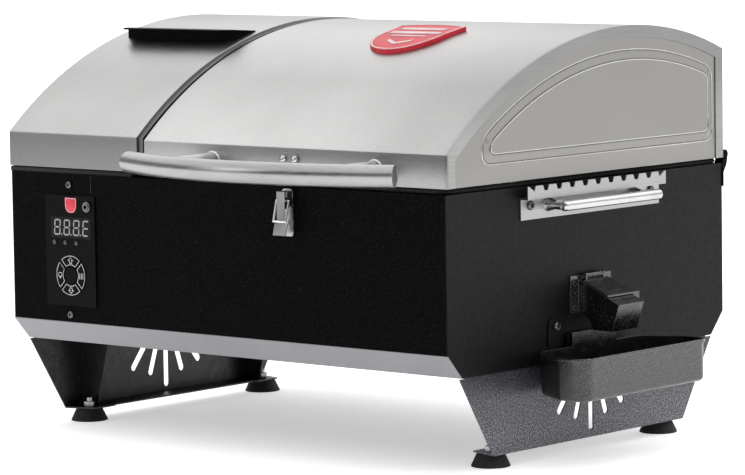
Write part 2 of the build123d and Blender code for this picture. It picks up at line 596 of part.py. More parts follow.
def drip_tray():
    """Deep tray with a rolled rim and a tongue that hooks on the hanger."""
    t = 1.2
    tray = extrude(tray_plan(0, TRAY_Z0), amount=TRAY_Z1 - TRAY_Z0, dir=(0, 0, 1))
    tray = fillet(tray.faces().sort_by(Axis.Z)[0].edges(), 5)
    tray += extrude(tray_plan(1.6, TRAY_Z1 - 3), amount=3, dir=(0, 0, 1))
    tray = fillet(tray.faces().sort_by(Axis.Z)[-1].edges(), 1.0)
    hollow = extrude(tray_plan(-t, TRAY_Z0 + t), amount=60, dir=(0, 0, 1))
    tray -= fillet(hollow.faces().sort_by(Axis.Z)[0].edges(), 5 - t)
    y0, y1 = HANGER_Y - 34, HANGER_Y + 34
    tray += block(287.0, 287.0 + t, y0, y1, TRAY_Z1 - 4, 117.2)
    tray += block(282.3, 287.0 + t, y0, y1, 116.0, 117.2)
    return tray + block(282.3, 283.5, y0, y1, 109.0, 117.2)


def tray_hanger():
    """Wall plate with an upturned lip that the tray's tongue drops behind."""
    wall = HALF_W + SHEET
    hanger = block(HALF_W, wall, HANGER_Y - 62, HANGER_Y + 62, 106, 133)
    hanger = fillet(hanger.edges().filter_by(Axis.X).group_by(Axis.Z)[-1], 8)
    hanger += block(wall, 285.1, HANGER_Y - 38, HANGER_Y + 38, 106, 107.5)
    hanger += block(283.9, 285.1, HANGER_Y - 38, HANGER_Y + 38, 106, 115.6)
    for y in (HANGER_Y - 50, HANGER_Y + 50):
        hanger -= rod((HALF_W - 1, y, 124), (wall + 1, y, 124), 2.0)
    return hanger


# ---------------------------------------------------------------- legs and feet

def leg(side):
    """Sheet leg: slotted plate, flanges turned in at top and foot, two welded gussets."""
    inner = LEG_X - SHEET
    plate = along_x([(-LEG_TOP_HALF, PAN_Z - 1.5), (-LEG_FOOT_HALF, LEG_Z),
                     (LEG_FOOT_HALF, LEG_Z), (LEG_TOP_HALF, PAN_Z - 1.5)], inner, LEG_X)
    for angle, reach in ((-39, 77), (-19, 71), (0, 81), (19, 71), (39, 77)):
        start = (inner - 1, 34 * sin(radians(angle)), SUN_Z - 34 * cos(radians(angle)))
        end = (inner - 1, reach * sin(radians(angle)), SUN_Z - reach * cos(radians(angle)))
        plate -= slot_through(start, end, SLOT_W / 2, 4)
    leg_part = plate + block(250, inner + 0.6, -LEG_TOP_HALF + 8, LEG_TOP_HALF - 8, PAN_Z - 1.5, PAN_Z)
    gusset = [(inner + 0.6, LEG_Z), (inner + 0.6, PAN_Z - 1.5), (LEG_X - 40, PAN_Z - 1.5), (LEG_X - 21, LEG_Z)]
    for s in (-1, 1):
        leg_part += along_y(gusset, *sorted((s * LEG_GUSSET_Y, s * (LEG_GUSSET_Y - SHEET))))
    foot_flange = [(LEG_X, LEG_FOOT_HALF), (LEG_X - 32, LEG_FOOT_HALF - 9), (LEG_X - 32, 108), (LEG_X - 28, 104)]
    outline = [(x, -y) for x, y in foot_flange] + [(x, y) for x, y in reversed(foot_flange)]
    leg_part += extrude(make_face(Polyline(*[(x, y, LEG_Z) for x, y in outline], close=True)),
                        amount=SHEET, dir=(0, 0, 1))
    for s in (-1, 1):
        leg_part -= rod((FOOT_X, s * FOOT_Y, 5), (FOOT_X, s * FOOT_Y, 30), 3.2)
        leg_part -= rod((FOOT_X, s * LEG_BOLT_Y, 80), (FOOT_X, s * LEG_BOLT_Y, 95), 2.7)
    return leg_part if side > 0 else mirror(leg_part, about=Plane.YZ)


def slot_through(start, end, r, depth):
    """A round-ended slot cut along X between two (x, y, z) centres."""
    ends = [rod(p, (p[0] + depth, p[1], p[2]), r) for p in (start, end)]
    turn = atan2(end[2] - start[2], end[1] - start[1])
    dy, dz = -r * sin(turn), r * cos(turn)
    corners = [(start[1] + dy, start[2] + dz), (end[1] + dy, end[2] + dz),
               (end[1] - dy, end[2] - dz), (start[1] - dy, start[2] - dz)]
    return along_x(corners, start[0], start[0] + depth) + ends[0] + ends[1]


def foot_places():
    return [(sx * FOOT_X, sy * FOOT_Y) for sx in (-1, 1) for sy in (-1, 1)]


def rubber_feet():
    feet = []
    for x, y in foot_places():
        foot = Pos(x, y, 0) * Cone(FOOT_R0, FOOT_R1, LEG_Z, align=(Align.CENTER, Align.CENTER, Align.MIN))
        feet.append(foot - rod((x, y, 3), (x, y, LEG_Z + 1), 3.0))
    return group(*feet)


def foot_studs():
    """Threaded stud and hexagon nut that hold each foot to its leg."""
    pieces = []
    top = LEG_Z + SHEET
    for x, y in foot_places():
        stud = rod((x, y, 3), (x, y, top + 9), 3.0)
        nut = extrude(Pos(x, y, top) * RegularPolygon(5.8, 6), amount=5)
        pieces += [stud + nut]
    return group(*pieces)


# ---------------------------------------------------------------- fasteners

def screw(seat, direction, head_r, head_h, shank_r, depth):
    """Button-head screw: head stands off the seat, shank goes the other way."""
    seat, out = Vector(seat), Vector(direction)
    head = rod(seat, seat + out * head_h, head_r)
    rim = head.edges().filter_by(GeomType.CIRCLE).sort_by(lambda edge: edge.center().dot(out))[-1]
    head = fillet(rim, head_h * 0.6)
    socket = Plane(seat + out * (head_h * 0.35), z_dir=out) * RegularPolygon(head_r * 0.5, 6)
    return head - extrude(socket, amount=head_h) + rod(seat, seat - out * depth, shank_r)


def panel_screw_places():
    return [(-199.5, FRONT, 248.2), (-200.5, FRONT, 119.6)]


def side_screw_places():
    wall = HALF_W + SHEET
    places = [(wall, y, RACK_SCREW_Z) for y in (-RACK_SCREW_Y, RACK_SCREW_Y)]
    return places + [(wall, HANGER_Y + s * 50, 124) for s in (-1, 1)]


def leg_bolt_places():
    return [(sx * FOOT_X, sy * LEG_BOLT_Y, PAN_Z - 1.5) for sx in (-1, 1) for sy in (-1, 1)]


def cabinet_screws():
    pieces = [screw(p, (0, -1, 0), 3.6, 2.2, 1.5, SHEET) for p in panel_screw_places()]
    pieces += [screw(p, (1, 0, 0), 4.4, 2.6, 2.0, 2 * SHEET) for p in side_screw_places()]
    pieces += [screw(p, (0, 0, -1), 4.8, 3.0, 2.5, 1.5 + SHEET) for p in leg_bolt_places()]
    return group(*pieces)


# ---------------------------------------------------------------- pellet feed and fire

def hopper_bin():
    """Funnel that feeds pellets down to the auger."""
    t = 1.2
    lip = Plane.XY.offset(TOP_Z - SHEET)
    throat = Plane.XY.offset(AUGER_Z + 22)
    outer = loft([lip * Pos(-196, 27) * Rectangle(150, 336), throat * Pos(-182, 0) * Rectangle(66, 34)])
    inner = loft([lip * Pos(-196, 27) * Rectangle(150 - 2 * t, 336 - 2 * t),
                  throat * Pos(-182, 0) * Rectangle(66 - 2 * t, 34 - 2 * t)])
    return outer - inner


def hopper_guard():
    """Bars low in the funnel that keep fingers off the auger."""
    x0, x1, y0, y1 = -235.0, -139.8, -62.8, 83.8
    pitch = (x1 - x0) / (GUARD_BARS + 1)
    xs = [x0 + pitch * (i + 1) for i in range(GUARD_BARS)]
    return group(*[rod((x, y0, GUARD_Z), (x, y1, GUARD_Z), 1.2) for x in xs])


def auger_tube():
    """Feed tube from the pellet funnel to the fire pot, with a square inlet block."""
    end_x = POT_X - POT_R + 1.0
    body = rod((-140, 0, AUGER_Z), (end_x, 0, AUGER_Z), AUGER_BORE + 1.5)
    body += block(-222, -140, -22, 22, AUGER_Z - 22, AUGER_Z + 22)
    body -= rod((-223, 0, AUGER_Z), (end_x + 1, 0, AUGER_Z), AUGER_BORE)
    return body - block(-182 - 31.8, -182 + 31.8, -15.8, 15.8, AUGER_Z, AUGER_Z + 23)


def auger_screw():
    """Shaft with one helical flight, its stub running in the gearbox bore."""
    shaft = rod((-236, 0, AUGER_Z), (44, 0, AUGER_Z), AUGER_SHAFT_R)
    turns, pitch, x0 = 7, 36.0, -216.0
    path = Plane((x0, 0, AUGER_Z), z_dir=(1, 0, 0)) * Helix(pitch, turns * pitch, 11.0)
    start = Plane(path @ 0, z_dir=path % 0, x_dir=(path @ 0) - Vector(x0, 0, AUGER_Z))
    flight = sweep(start * Rectangle(13.6, 2.2), path=path, is_frenet=True)
    return shaft + flight


def auger_motor():
    """Gear motor at the outer end of the auger."""
    box = block(-272, -224, -24, 24, AUGER_Z - 24, AUGER_Z + 24)
    box = fillet(box.edges().filter_by(Axis.X), 5)
    can = rod((-252, 24, AUGER_Z), (-252, 74, AUGER_Z), 19)
    return box + can - rod((-237, 0, AUGER_Z), (-223, 0, AUGER_Z), AUGER_SHAFT_R + RUNNING)


def fan_housing():
    """Scroll case of the blower with its outlet through the divider wall."""
    z0, z1 = FAN_Z0, FAN_Z0 + 34
    case = rod((FAN_X, FAN_Y, z0), (FAN_X, FAN_Y, z1), 40)
    case += block(FAN_X, DIVIDER_X - SHEET / 2, FAN_Y - 10, FAN_Y + 40, z0, z1)
    inside = rod((FAN_X, FAN_Y, z0 + 2), (FAN_X, FAN_Y, z1 - 2), 38)
    inside += block(FAN_X, DIVIDER_X + 5, FAN_Y - 8, FAN_Y + 38, z0 + 2, z1 - 2)
    inlet = rod((FAN_X, FAN_Y, z0 - 1), (FAN_X, FAN_Y, z0 + 3), 24)
    motor = rod((FAN_X, FAN_Y, z1), (FAN_X, FAN_Y, z1 + 16), 20)
    case = case - inside - inlet + motor
    case -= rod((FAN_X, FAN_Y, z1 - 3), (FAN_X, FAN_Y, z1 + 12), FAN_SHAFT_R + RUNNING)
    for sx in (-1, 1):
        for sy in (-1, 1):
            case += block(FAN_X + sx * 30 - 4, FAN_X + sx * 30 + 4, FAN_Y + sy * 30 - 4, FAN_Y + sy * 30 + 4,
                          PAN_Z + SHEET, z0 + 1) & rod((FAN_X, FAN_Y, 0), (FAN_X, FAN_Y, 200), 40)
    return case


def fan_impeller():
    """Squirrel-cage wheel on the blower's shaft."""
    z0 = FAN_Z0 + 5
    wheel = rod((FAN_X, FAN_Y, z0 + 21), (FAN_X, FAN_Y, z0 + 24), 32)
    wheel += rod((FAN_X, FAN_Y, z0 + 21), (FAN_X, FAN_Y, FAN_Z0 + 42), FAN_SHAFT_R)
    wheel += tube((FAN_X, FAN_Y, z0), (FAN_X, FAN_Y, z0 + 2), 32, 26)
    for i in range(20):
        blade = block(26, 32, -0.6, 0.6, z0, z0 + 22)
        wheel += Pos(FAN_X, FAN_Y, 0) * Rot(0, 0, 18 * i) * blade
    return wheel


def burn_pot():
    """Fire pot with an air ring, its side open to the feed tube and igniter."""
    floor = PAN_Z + SHEET
    pot = tube((POT_X, 0, floor), (POT_X, 0, POT_TOP_Z), POT_R, POT_R - 2.5)
    pot += rod((POT_X, 0, 98), (POT_X, 0, 100.5), POT_R - 1)
    pot -= rod((POT_X - POT_R - 5, 0, AUGER_Z), (POT_X, 0, AUGER_Z), AUGER_BORE + 1.7)
    pot -= rod((POT_X - POT_R - 5, 0, 106), (POT_X, 0, 106), 5.2)
    for i in range(12):
        spot = Pos(POT_X, 0, 120) * Rot(0, 0, 15 + 30 * i)
        pot -= spot * Pos(POT_R - 5, 0, 0) * Rot(0, 90, 0) * Cylinder(2.5, 20)
    return pot


def igniter_rod():
    return rod((-128, 0, 106), (POT_X - POT_R + 14, 0, 106), 5.0)


def heat_baffle():
    """Folded sheet that stands over the fire pot and spreads the heat."""
    outline = [(-150, PAN_Z + SHEET), (-150, 178), (0, 184), (150, 178), (150, PAN_Z + SHEET),
               (148.5, PAN_Z + SHEET), (148.5, 176.6), (0, 182.5), (-148.5, 176.6), (-148.5, PAN_Z + SHEET)]
    return along_x(outline, -40, 220)


def grease_pan():
    """Sloping pan under the grate with a gutter and a spout to the chute."""
    t = 1.2
    slope = along_y([(-104, 211), (262, 194), (262, 194 - t), (-104, 211 - t)], -192, 192)
    for y in (-192, 192 - t):
        slope += along_y([(-104, 211 - t), (262, 194 - t), (262, 202), (-104, 219)], y, y + t)
    gutter = along_y([(262, 194), (262, 178), (276, 178), (276, 196), (276 - t, 196), (276 - t, 178 + t),
                      (262 + t, 178 + t), (262 + t, 194)], -192, 192)
    spout = block(262, 277, CHUTE_Y - 14, CHUTE_Y + 14, 146, 178 + t)
    spout -= block(262 + t, 279, CHUTE_Y - 14 + t, CHUTE_Y + 14 - t, 146 + t, 178 + 2 * t)
    gutter -= block(262 + t, 276 - t, CHUTE_Y - 14 + t, CHUTE_Y + 14 - t, 170, 190)
    return slope + gutter + spout


def grate_rests():
    """Brackets that carry the grate, front and back, and the pan at its upper end."""
    rests = []
    for x in (-60, 220):
        for s in (-1, 1):
            wall, top = s * (HALF_D - SHEET), GRATE_Z - 3
            angle = [(wall, top), (wall - s * 24, top), (wall - s * 24, top - SHEET),
                     (wall - s * SHEET, top - SHEET), (wall - s * SHEET, top - 17), (wall, top - 17)]
            rests.append(along_x(angle, x - 12, x + 12))
    for y in (-120, 120):
        rests.append(block(-108, -92, y - 10, y + 10, 206, 209.2))
        rests.append(block(270, 278.5, y - 10, y + 10, 174, 178))
    return group(*rests)


def cooking_grate():
    """Welded rod grate: a border, close bars front to back and two cross bars."""
    x0, x1, y = -79.0, 260.0, 194.0
    z = GRATE_Z
    grate = rod((x0 - 3, -y, z), (x1 + 3, -y, z), 3.0) + rod((x0 - 3, y, z), (x1 + 3, y, z), 3.0)
    for x in (x0, x1):
        grate += rod((x, -y - 3, z), (x, y + 3, z), 3.0)
    count = 22
    for i in range(1, count):
        x = x0 + (x1 - x0) * i / count
        grate += rod((x, -y, z), (x, y, z), 2.0)
    for cross in (-80, 80):
        grate += rod((x0, cross, z - 2.0), (x1, cross, z - 2.0), 2.0)
    return grate


def temperature_probe():
    """Chamber sensor that stands a little way out of the divider wall."""
    x0 = DIVIDER_X + SHEET / 2
    stem = rod((x0, 150, 240), (x0 + 14, 150, 240), 3.0)
    return stem + rod((x0, 150, 240), (x0 + 3, 150, 240), 7.0)


def power_inlet():
    """Recessed mains inlet low on the back of the pellet bay."""
    body = block(-213, -187, HALF_D - 22, HALF_D, 177, 195)
    flange = block(-222, -178, HALF_D, HALF_D + 3, 172, 200)
    flange = fillet(flange.edges().filter_by(Axis.Y), 4)
    inlet = body + flange - block(-210, -190, HALF_D - 16, HALF_D + 4, 180, 192)
    for x in (-206, -200, -194):
        inlet += block(x - 1, x + 1, HALF_D - 17, HALF_D - 3, 184, 190)
    return inlet


# ---------------------------------------------------------------- the whole grill

def lid_ends(x0, x1, left_boss, right_boss, rise=0.0):
    return group(lid_end(x0, -1, left_boss, rise), lid_end(x1, 1, right_boss, rise))


def build_nodes():
    holes = [rod((p[0], FRONT - 1, p[2]), (p[0], FRONT + SHEET, p[2]), 1.5) for p in panel_screw_places()]
    front = front_panel()
    for hole in holes:
        front -= hole
    right = side_panel(1)
    for x, y, z in side_screw_places():
        right -= rod((HALF_W - SHEET, y, z), (HALF_W + 1, y, z), 2.0)
    pan = floor_pan()
    for x, y, z in leg_bolt_places():
        pan -= rod((x, y, PAN_Z - 1), (x, y, PAN_Z + SHEET), 2.7)
    return {
        "floor_pan": pan,
        "front_panel": front,
        "back_panel": back_panel(),
        "left_side_panel": side_panel(-1),
        "right_side_panel": right,
        "front_trim_strip": front_trim_strip(),
        "divider_wall": divider_wall(),
        "rim_seals": rim_seals(),
        "main_lid_skin": lid_skin(MAIN_X0, MAIN_X1),
        "main_lid_ends": lid_ends(MAIN_X0, MAIN_X1, False, True),
        "hopper_lid_skin": lid_skin(HOPPER_X0, HOPPER_X1, HOPPER_RISE),
        "hopper_lid_ends": lid_ends(HOPPER_X0, HOPPER_X1, True, False, HOPPER_RISE),
        "hopper_lid_lip": hopper_lid_lip(),
        "hinge_brackets": group(*[s for x in MAIN_HINGES + HOPPER_HINGES for s in hinge_base(x)]),
        "main_hinge_leaves": group(*[hinge_leaf(x) for x in MAIN_HINGES]),
        "hopper_hinge_leaves": group(*[hinge_leaf(x) for x in HOPPER_HINGES]),
        "lid_handle_tube": lid_handle_tube(),
        "lid_handle_posts": lid_handle_posts(),
        "lid_handle_caps": lid_handle_caps(),
        "badge": badge(),
        "latch_base": latch_base(),
        "latch_lever": latch_lever(),
        "latch_bail": latch_bail(),
        "latch_catch": latch_catch(),
        "control_faceplate": control_faceplate(),
        "display_and_lamps": display_and_lamps(),
        "probe_jack": probe_jack(),
        "controller_box": controller_box(),
        "key_right": ring_key(0),
        "key_up": ring_key(90),
        "key_left": ring_key(180),
        "key_down": ring_key(270),
        "key_centre": centre_key(),
        "tool_rack": tool_rack(),
        "side_handle_bars": side_handle_bars(),
        "side_handle_posts": side_handle_posts(),
        "grease_chute": grease_chute(),
        "chute_flap": chute_flap(),
        "drip_tray": drip_tray(),
        "tray_hanger": tray_hanger(),
        "left_leg": leg(-1),
        "right_leg": leg(1),
        "rubber_feet": rubber_feet(),
        "foot_studs": foot_studs(),
        "cabinet_screws": cabinet_screws(),
        "hopper_bin": hopper_bin(),
        "hopper_guard": hopper_guard(),
        "auger_tube": auger_tube(),
        "auger_screw": auger_screw(),
        "auger_motor": auger_motor(),
        "fan_housing": fan_housing(),
        "fan_impeller": fan_impeller(),
        "burn_pot": burn_pot(),
        "igniter_rod": igniter_rod(),
        "heat_baffle": heat_baffle(),
        "grease_pan": grease_pan(),
        "grate_rests": grate_rests(),
        "cooking_grate": cooking_grate(),
        "temperature_probe": temperature_probe(),
        "power_inlet": power_inlet(),
    }


def base_centre(nodes):
    """Middle of the whole grill's box, on the surface it stands on."""
    boxes = [shape.bounding_box() for shape in nodes.values()]
    x = (min(b.min.X for b in boxes) + max(b.max.X for b in boxes)) / 2
    y = (min(b.min.Y for b in boxes) + max(b.max.Y for b in boxes)) / 2
    return Vector(x, y, min(b.min.Z for b in boxes))


def main():
    os.makedirs("parts", exist_ok=True)
    nodes = build_nodes()
    centre = base_centre(nodes)
    print("origin in the cabinet's frame:", round(centre.X, 4), round(centre.Y, 4), round(centre.Z, 4))
    for name, shape in nodes.items():
        export_step(Pos(-centre.X, -centre.Y, -centre.Z) * shape, f"parts/{name}.step")


if __name__ == "__main__":
    main()
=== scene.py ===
import math

import bmesh
import bpy
from mathutils import Matrix, Vector


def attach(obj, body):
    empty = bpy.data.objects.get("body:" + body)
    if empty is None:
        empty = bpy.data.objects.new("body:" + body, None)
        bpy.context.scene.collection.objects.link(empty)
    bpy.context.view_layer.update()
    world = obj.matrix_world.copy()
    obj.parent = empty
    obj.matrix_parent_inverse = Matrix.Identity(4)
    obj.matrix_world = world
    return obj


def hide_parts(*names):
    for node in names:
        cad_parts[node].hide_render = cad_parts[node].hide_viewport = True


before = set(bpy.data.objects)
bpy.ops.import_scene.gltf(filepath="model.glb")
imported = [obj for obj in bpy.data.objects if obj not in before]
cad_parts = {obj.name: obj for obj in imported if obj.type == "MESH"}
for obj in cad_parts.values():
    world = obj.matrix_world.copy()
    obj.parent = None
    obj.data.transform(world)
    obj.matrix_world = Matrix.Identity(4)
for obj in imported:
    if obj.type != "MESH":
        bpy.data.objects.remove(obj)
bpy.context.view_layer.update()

MM = 0.001

# ---- camera: its place in the frame's metres, turns in degrees, lens in mm, shift in shares of the picture
EYE = Vector((2.47328, -2.86584, 0.56421))
AZIMUTH, PITCH, ROLL = 40.586, -5.219, -0.867
LENS = 187.39
SHIFT = (0.0052, -0.0344)
FAR_END = 100.0

# ---- light: the room's strength in front and behind, the depth of the change, and its lean to the side
ROOM_FRONT, ROOM_BACK = 0.10, 0.85
ROOM_SPAN, SIDE_SHARE = 0.9, 0.35
# the overhead sun: its strength, its spread in degrees, and its lean about X and Y in degrees
OVERHEAD = 2.5
OVERHEAD_SPREAD = 130
OVERHEAD_LEAN = (-8, -6)
# the card at front left, in metres and watts
CARD_PLACE = (-2.2, -2.6, 1.5)
CARD_TARGET = (0, 0, 0.25)
CARD_SIZE = (0.7, 1.4)
CARD_POWER = 9
# half the floor's width in metres, and its own light
FLOOR_REACH, FLOOR_GLOW = 30.0, 0.50

# ---- the object, in the cabinet's millimetres: X to the right, Y to the back, Z up from the ground
CABINET_SHIFT = (23.55, -44.0)
FRONT_Y = -214.5
WALL_X, WALL_Y = 282.0, 214.5
RIM_Z, LIDS_Z = 259.0, 264.5
SHEET = 1.2

# ---- control panel: how far its plate, window and keys stand out, and the ink's thickness
PLATE_PROUD, WINDOW_PROUD, KEY_PROUD = 1.5, 1.7, 2.5
INK_T = 0.06
OVER_INK_T = INK_T * 1.2
# the keypad: its centre, the keys' radii, half the gap between two outlines, and the signs' distance out
KEYS_X, KEYS_Z = -197.5, 158.8
KEY_OUTER, KEY_INNER, KEY_GAP = 19.3, 10.6, 1.9
SIGN_REACH = 14.6
OUTLINE_WIDTH, SIGN_WIDTH = 0.55, 0.6
# the keys' signs, as (across, outward) from a sign's middle
ARROW = [(-1.5, -2.4), (1.5, -2.4), (1.5, 0.2), (3.2, 0.2), (0, 3.0), (-3.2, 0.2), (-1.5, 0.2)]
RING_RADIUS = 2.4
RING_BAR = [(0.6, -0.3), (4.0, -0.3), (4.0, 0.3), (0.6, 0.3)]
BAR_ROWS, BAR_REACH, BAR_HALF = (-2.2, 0.0, 2.2), 3.0, 0.35
# the display: its lower left corner, a character's size, pitch, lean and stroke
DIGITS_X, DIGITS_Z = -220.3, 198.2
DIGIT_WIDE, DIGIT_HIGH = 8.8, 15.8
DIGIT_PITCH, DIGIT_LEAN, STROKE = 13.0, 0.07, 1.5
# how far in a level and an upright segment end, in strokes
LEVEL_IN, UPRIGHT_IN = 0.65, 0.45
# the dot after a character: how far to its right, how far up, and its radius
DOT_OUT, DOT_UP, DOT_RADIUS = 1.6, 0.9, 0.8
# the shield and the line inside it: the middle, each one's top edge, width and height, the line's width
EMBLEM_X = -196.7
EMBLEM_SHAPE = (235.6, 15.5, 15.0)
EMBLEM_LINE_SHAPE = (234.9, 13.6, 13.4)
EMBLEM_LINE = 0.5
LAMPS_X, LAMPS_Z, LAMP_PROUD = (-219.6, -204.6, -189.5), 191.0, 0.5
SEAM_X, SEAM_Z, SEAM_T = (-170.3, -169.9), (241.0, 258.6), 0.12

# ---- lids: the radius and the centre (y, z) of their curve, and how much higher the pellet lid is
LID_RADIUS = 414.0
LID_ARC = (62.0, -12.5)
HOPPER_RISE = 2.0
# the badge: its middle, half its width, where its top corners, sides and tip end, its taper and its top's bow
BADGE_X, BADGE_HALF, BADGE_T = 94.5, 40.8, 4.0
BADGE_TOP, BADGE_SIDE, BADGE_TIP = -4.0, -36.0, -79.5
BADGE_TAPER, BADGE_BOW = 1.5, 6
# the badge's relief: a border, bars as (top edge, half their length, depth), and the right half of a chevron
RELIEF_T = 0.5
BORDER_IN, BORDER_WIDTH = 2.2, 1.5
BADGE_BARS = ((-15.0, 27.0, 7.5), (-28.5, 31.0, 7.5), (-41.0, 22.0, 3.0))
BADGE_CHEVRON = [(0, -62.0), (0, -67.0), (15.0, -58.0), (15.0, -53.0)]
# the pressed panel of the right lid end: its ends and its foot, how far it lies in from the curve, its slope
# and height, its corner radius and how much of each further inset that loses, and the points' spacing
PRESS_Y, PRESS_Z = (-163.0, 197.0), 282.5
PRESS_IN, PRESS_SLOPE, PRESS_OUT = 23.0, 10.0, 2.5
PRESS_CORNER, PRESS_TIGHTEN = 11.0, 0.45
CREASE_STEP = 4.0
# how far the dark line beside a crease lies from it, at the outer and at the inner crease, as (inset, X)
SHADE_OUTER, SHADE_INNER = (1.2, 0.2), (-1.1, -0.3)
# the folded edge in the gap between the lids: its sides, its depth under the curve, its foot and thickness
FOLD_X, FOLD_SUNK = (-106.4, -100.2), 2.4
FOLD_Z, FOLD_T = LIDS_Z + 1.0, 0.8
CATCH_SCREWS_X, CATCH_SCREWS_Z, CATCH_FACE_Y = (85.0, 99.4), 285.2, -216.4

# ---- rim: the foam strip's edges and width, and its section as (inset, share of its height)
FOAM_X = (-WALL_X + 0.6, -116.0)
FOAM_Y = (-WALL_Y + 0.6, 150.0)
FOAM_Z = (RIM_Z, LIDS_Z - 0.5)
FOAM_WIDTH = 7.0
FOAM_PROFILE = [(0.0, 0.0), (0.0, 0.8), (0.8, 1.0)]
# the rope seal: its centre line's sides, height and corner radius, then its strands and their lay
SEAL_X, SEAL_Y, SEAL_Z = (-89.5, 275.75), 210.75, 261.75
SEAL_CORNER = 10.0
STRANDS, STRAND_RADIUS, STRAND_OFFSET = 3, 1.45, 1.25
STRAND_STEP, STRAND_LAY = 2.2, 13.0
PAD_X, PAD_Y = (-268.0, -121.5), 207.75

# ---- shapes turned round an axis, as (radius, height)
LENS_PROFILE = [(2.3, 0.0), (2.3, 0.35), (1.8, 0.45), (1.6, 0.3), (1.2, 0.7), (0.6, 0.9)]
SCREW_PROFILE = [(3.4, 0.0), (3.3, 0.7), (2.6, 1.5), (1.5, 1.9), (1.1, 1.2)]
PAD_PROFILE = [(3.4, -2.75), (4.0, -2.2), (4.0, 2.2), (3.4, 2.75)]

# ---- materials: the part of a noise's range that holds most of its change, and the width in metres of edges given a painted highlight
NOISE_SPAN = (0.3, 0.7)
HIGHLIGHT_EDGE_WIDTH = 0.0009

# ---- meshes: points this near each other are one, in an added piece and in a CAD node, in metres
SAME_POINT, SAME_CAD_POINT = 0.000002, 0.00001


# ---------------------------------------------------------------- node helpers

class Shader:
    """A principled material with a few named steps for building its inputs."""

    def __init__(self, name, **sockets):
        self.material = bpy.data.materials.new(name)
        self.material.use_nodes = True
        self.tree = self.material.node_tree
        self.principled = self.tree.nodes["Principled BSDF"]
        self.set(**sockets)
        self.place = self.tree.nodes.new("ShaderNodeTexCoord").outputs["Object"]

    def set(self, **sockets):
        for name, value in sockets.items():
            self.principled.inputs[name.replace("_", " ")].default_value = value

    def add(self, kind, **values):
        node = self.tree.nodes.new("ShaderNode" + kind)
        for name, value in values.items():
            if name in node.inputs:
                node.inputs[name].default_value = value
            else:
                setattr(node, name, value)
        return node

    def link(self, source, target):
        self.tree.links.new(source, target)

    def stretched(self, scale):
        """Object coordinates scaled along each axis."""
        node = self.add("Mapping")
        node.inputs["Scale"].default_value = scale
        self.link(self.place, node.inputs["Vector"])
        return node.outputs["Vector"]

    def axis(self, name):
        split = self.add("SeparateXYZ")
        self.link(self.place, split.inputs[0])
        return split.outputs[name]

    def shaded(self, value, shading):
        """Multiplies value by shares along an axis, each given as (axis, low, high, stops, mask), to paint
        light and shade in by place.

        The stops run from low to high in metres. A mask (axis, low, high) leaves what lies past it as it is.
        """
        for axis, low, high, stops, mask in shading:
            along = self.spread(self.axis(axis), 0.0, 1.0, low, high)
            share = self.ramp(along, [(place, grey(tone)) for place, tone in stops])
            if mask:
                past = self.spread(self.axis(mask[0]), 0.0, 1.0, mask[1], mask[2])
                share = self.math("MAXIMUM", share, past)
            value = self.math("MULTIPLY", value, share)
        return value

    def noise(self, scale, detail=2.0, rough=0.5, vector=None):
        node = self.add("TexNoise", Scale=scale, Detail=detail, Roughness=rough)
        self.link(vector or self.place, node.inputs["Vector"])
        return node.outputs["Fac"]

    def soft_cells(self, scale):
        node = self.add("TexVoronoi", Scale=scale, feature="SMOOTH_F1")
        self.link(self.place, node.inputs["Vector"])
        return node.outputs["Distance"]

    def spread(self, source, low, high, start, stop):
        """Maps start..stop to low..high, clamped."""
        node = self.add("MapRange")
        for name, value in (("From Min", start), ("From Max", stop), ("To Min", low), ("To Max", high)):
            node.inputs[name].default_value = value
        self.link(source, node.inputs["Value"])
        return node.outputs["Result"]

    def ramp(self, source, stops):
        """Colour ramp with (position, (r, g, b)) stops."""
        node = self.add("ValToRGB")
        elements = node.color_ramp.elements
        while len(elements) < len(stops):
            elements.new(0.5)
        for element, (position, colour) in zip(elements, stops):
            element.position = position
            element.color = (*colour, 1.0)
        self.link(source, node.inputs["Fac"])
        return node.outputs["Color"]

    def math(self, operation, a, b):
        node = self.add("Math", operation=operation)
        for socket, value in zip(node.inputs, (a, b)):
            if isinstance(value, (int, float)):
                socket.default_value = value
            else:
                self.link(value, socket)
        return node.outputs["Value"]

    def bump(self, height, strength, distance):
        node = self.add("Bump")
        node.inputs["Strength"].default_value = strength
        node.inputs["Distance"].default_value = distance
        self.link(height, node.inputs["Height"])
        return node.outputs["Normal"]

    def painted_highlight_edges(self, radius):
        """1 on edges and 0 away from them, by how far rounding by radius turns the surface; used to paint
        highlights on edges.
        """
        bevel = self.add("Bevel", samples=4)
        bevel.inputs["Radius"].default_value = radius
        geometry = self.add("NewGeometry")
        dot = self.add("VectorMath", operation="DOT_PRODUCT")
        self.link(bevel.outputs["Normal"], dot.inputs[0])
        self.link(geometry.outputs["Normal"], dot.inputs[1])
        return self.spread(dot.outputs["Value"], 1.0, 0.0, 0.80, 0.99)

    def wire(self, **sources):
        for name, source in sources.items():
            self.link(source, self.principled.inputs[name.replace("_", " ")])
        return self.material


# ---------------------------------------------------------------- materials

def grey(value):
    return (value, value, value)


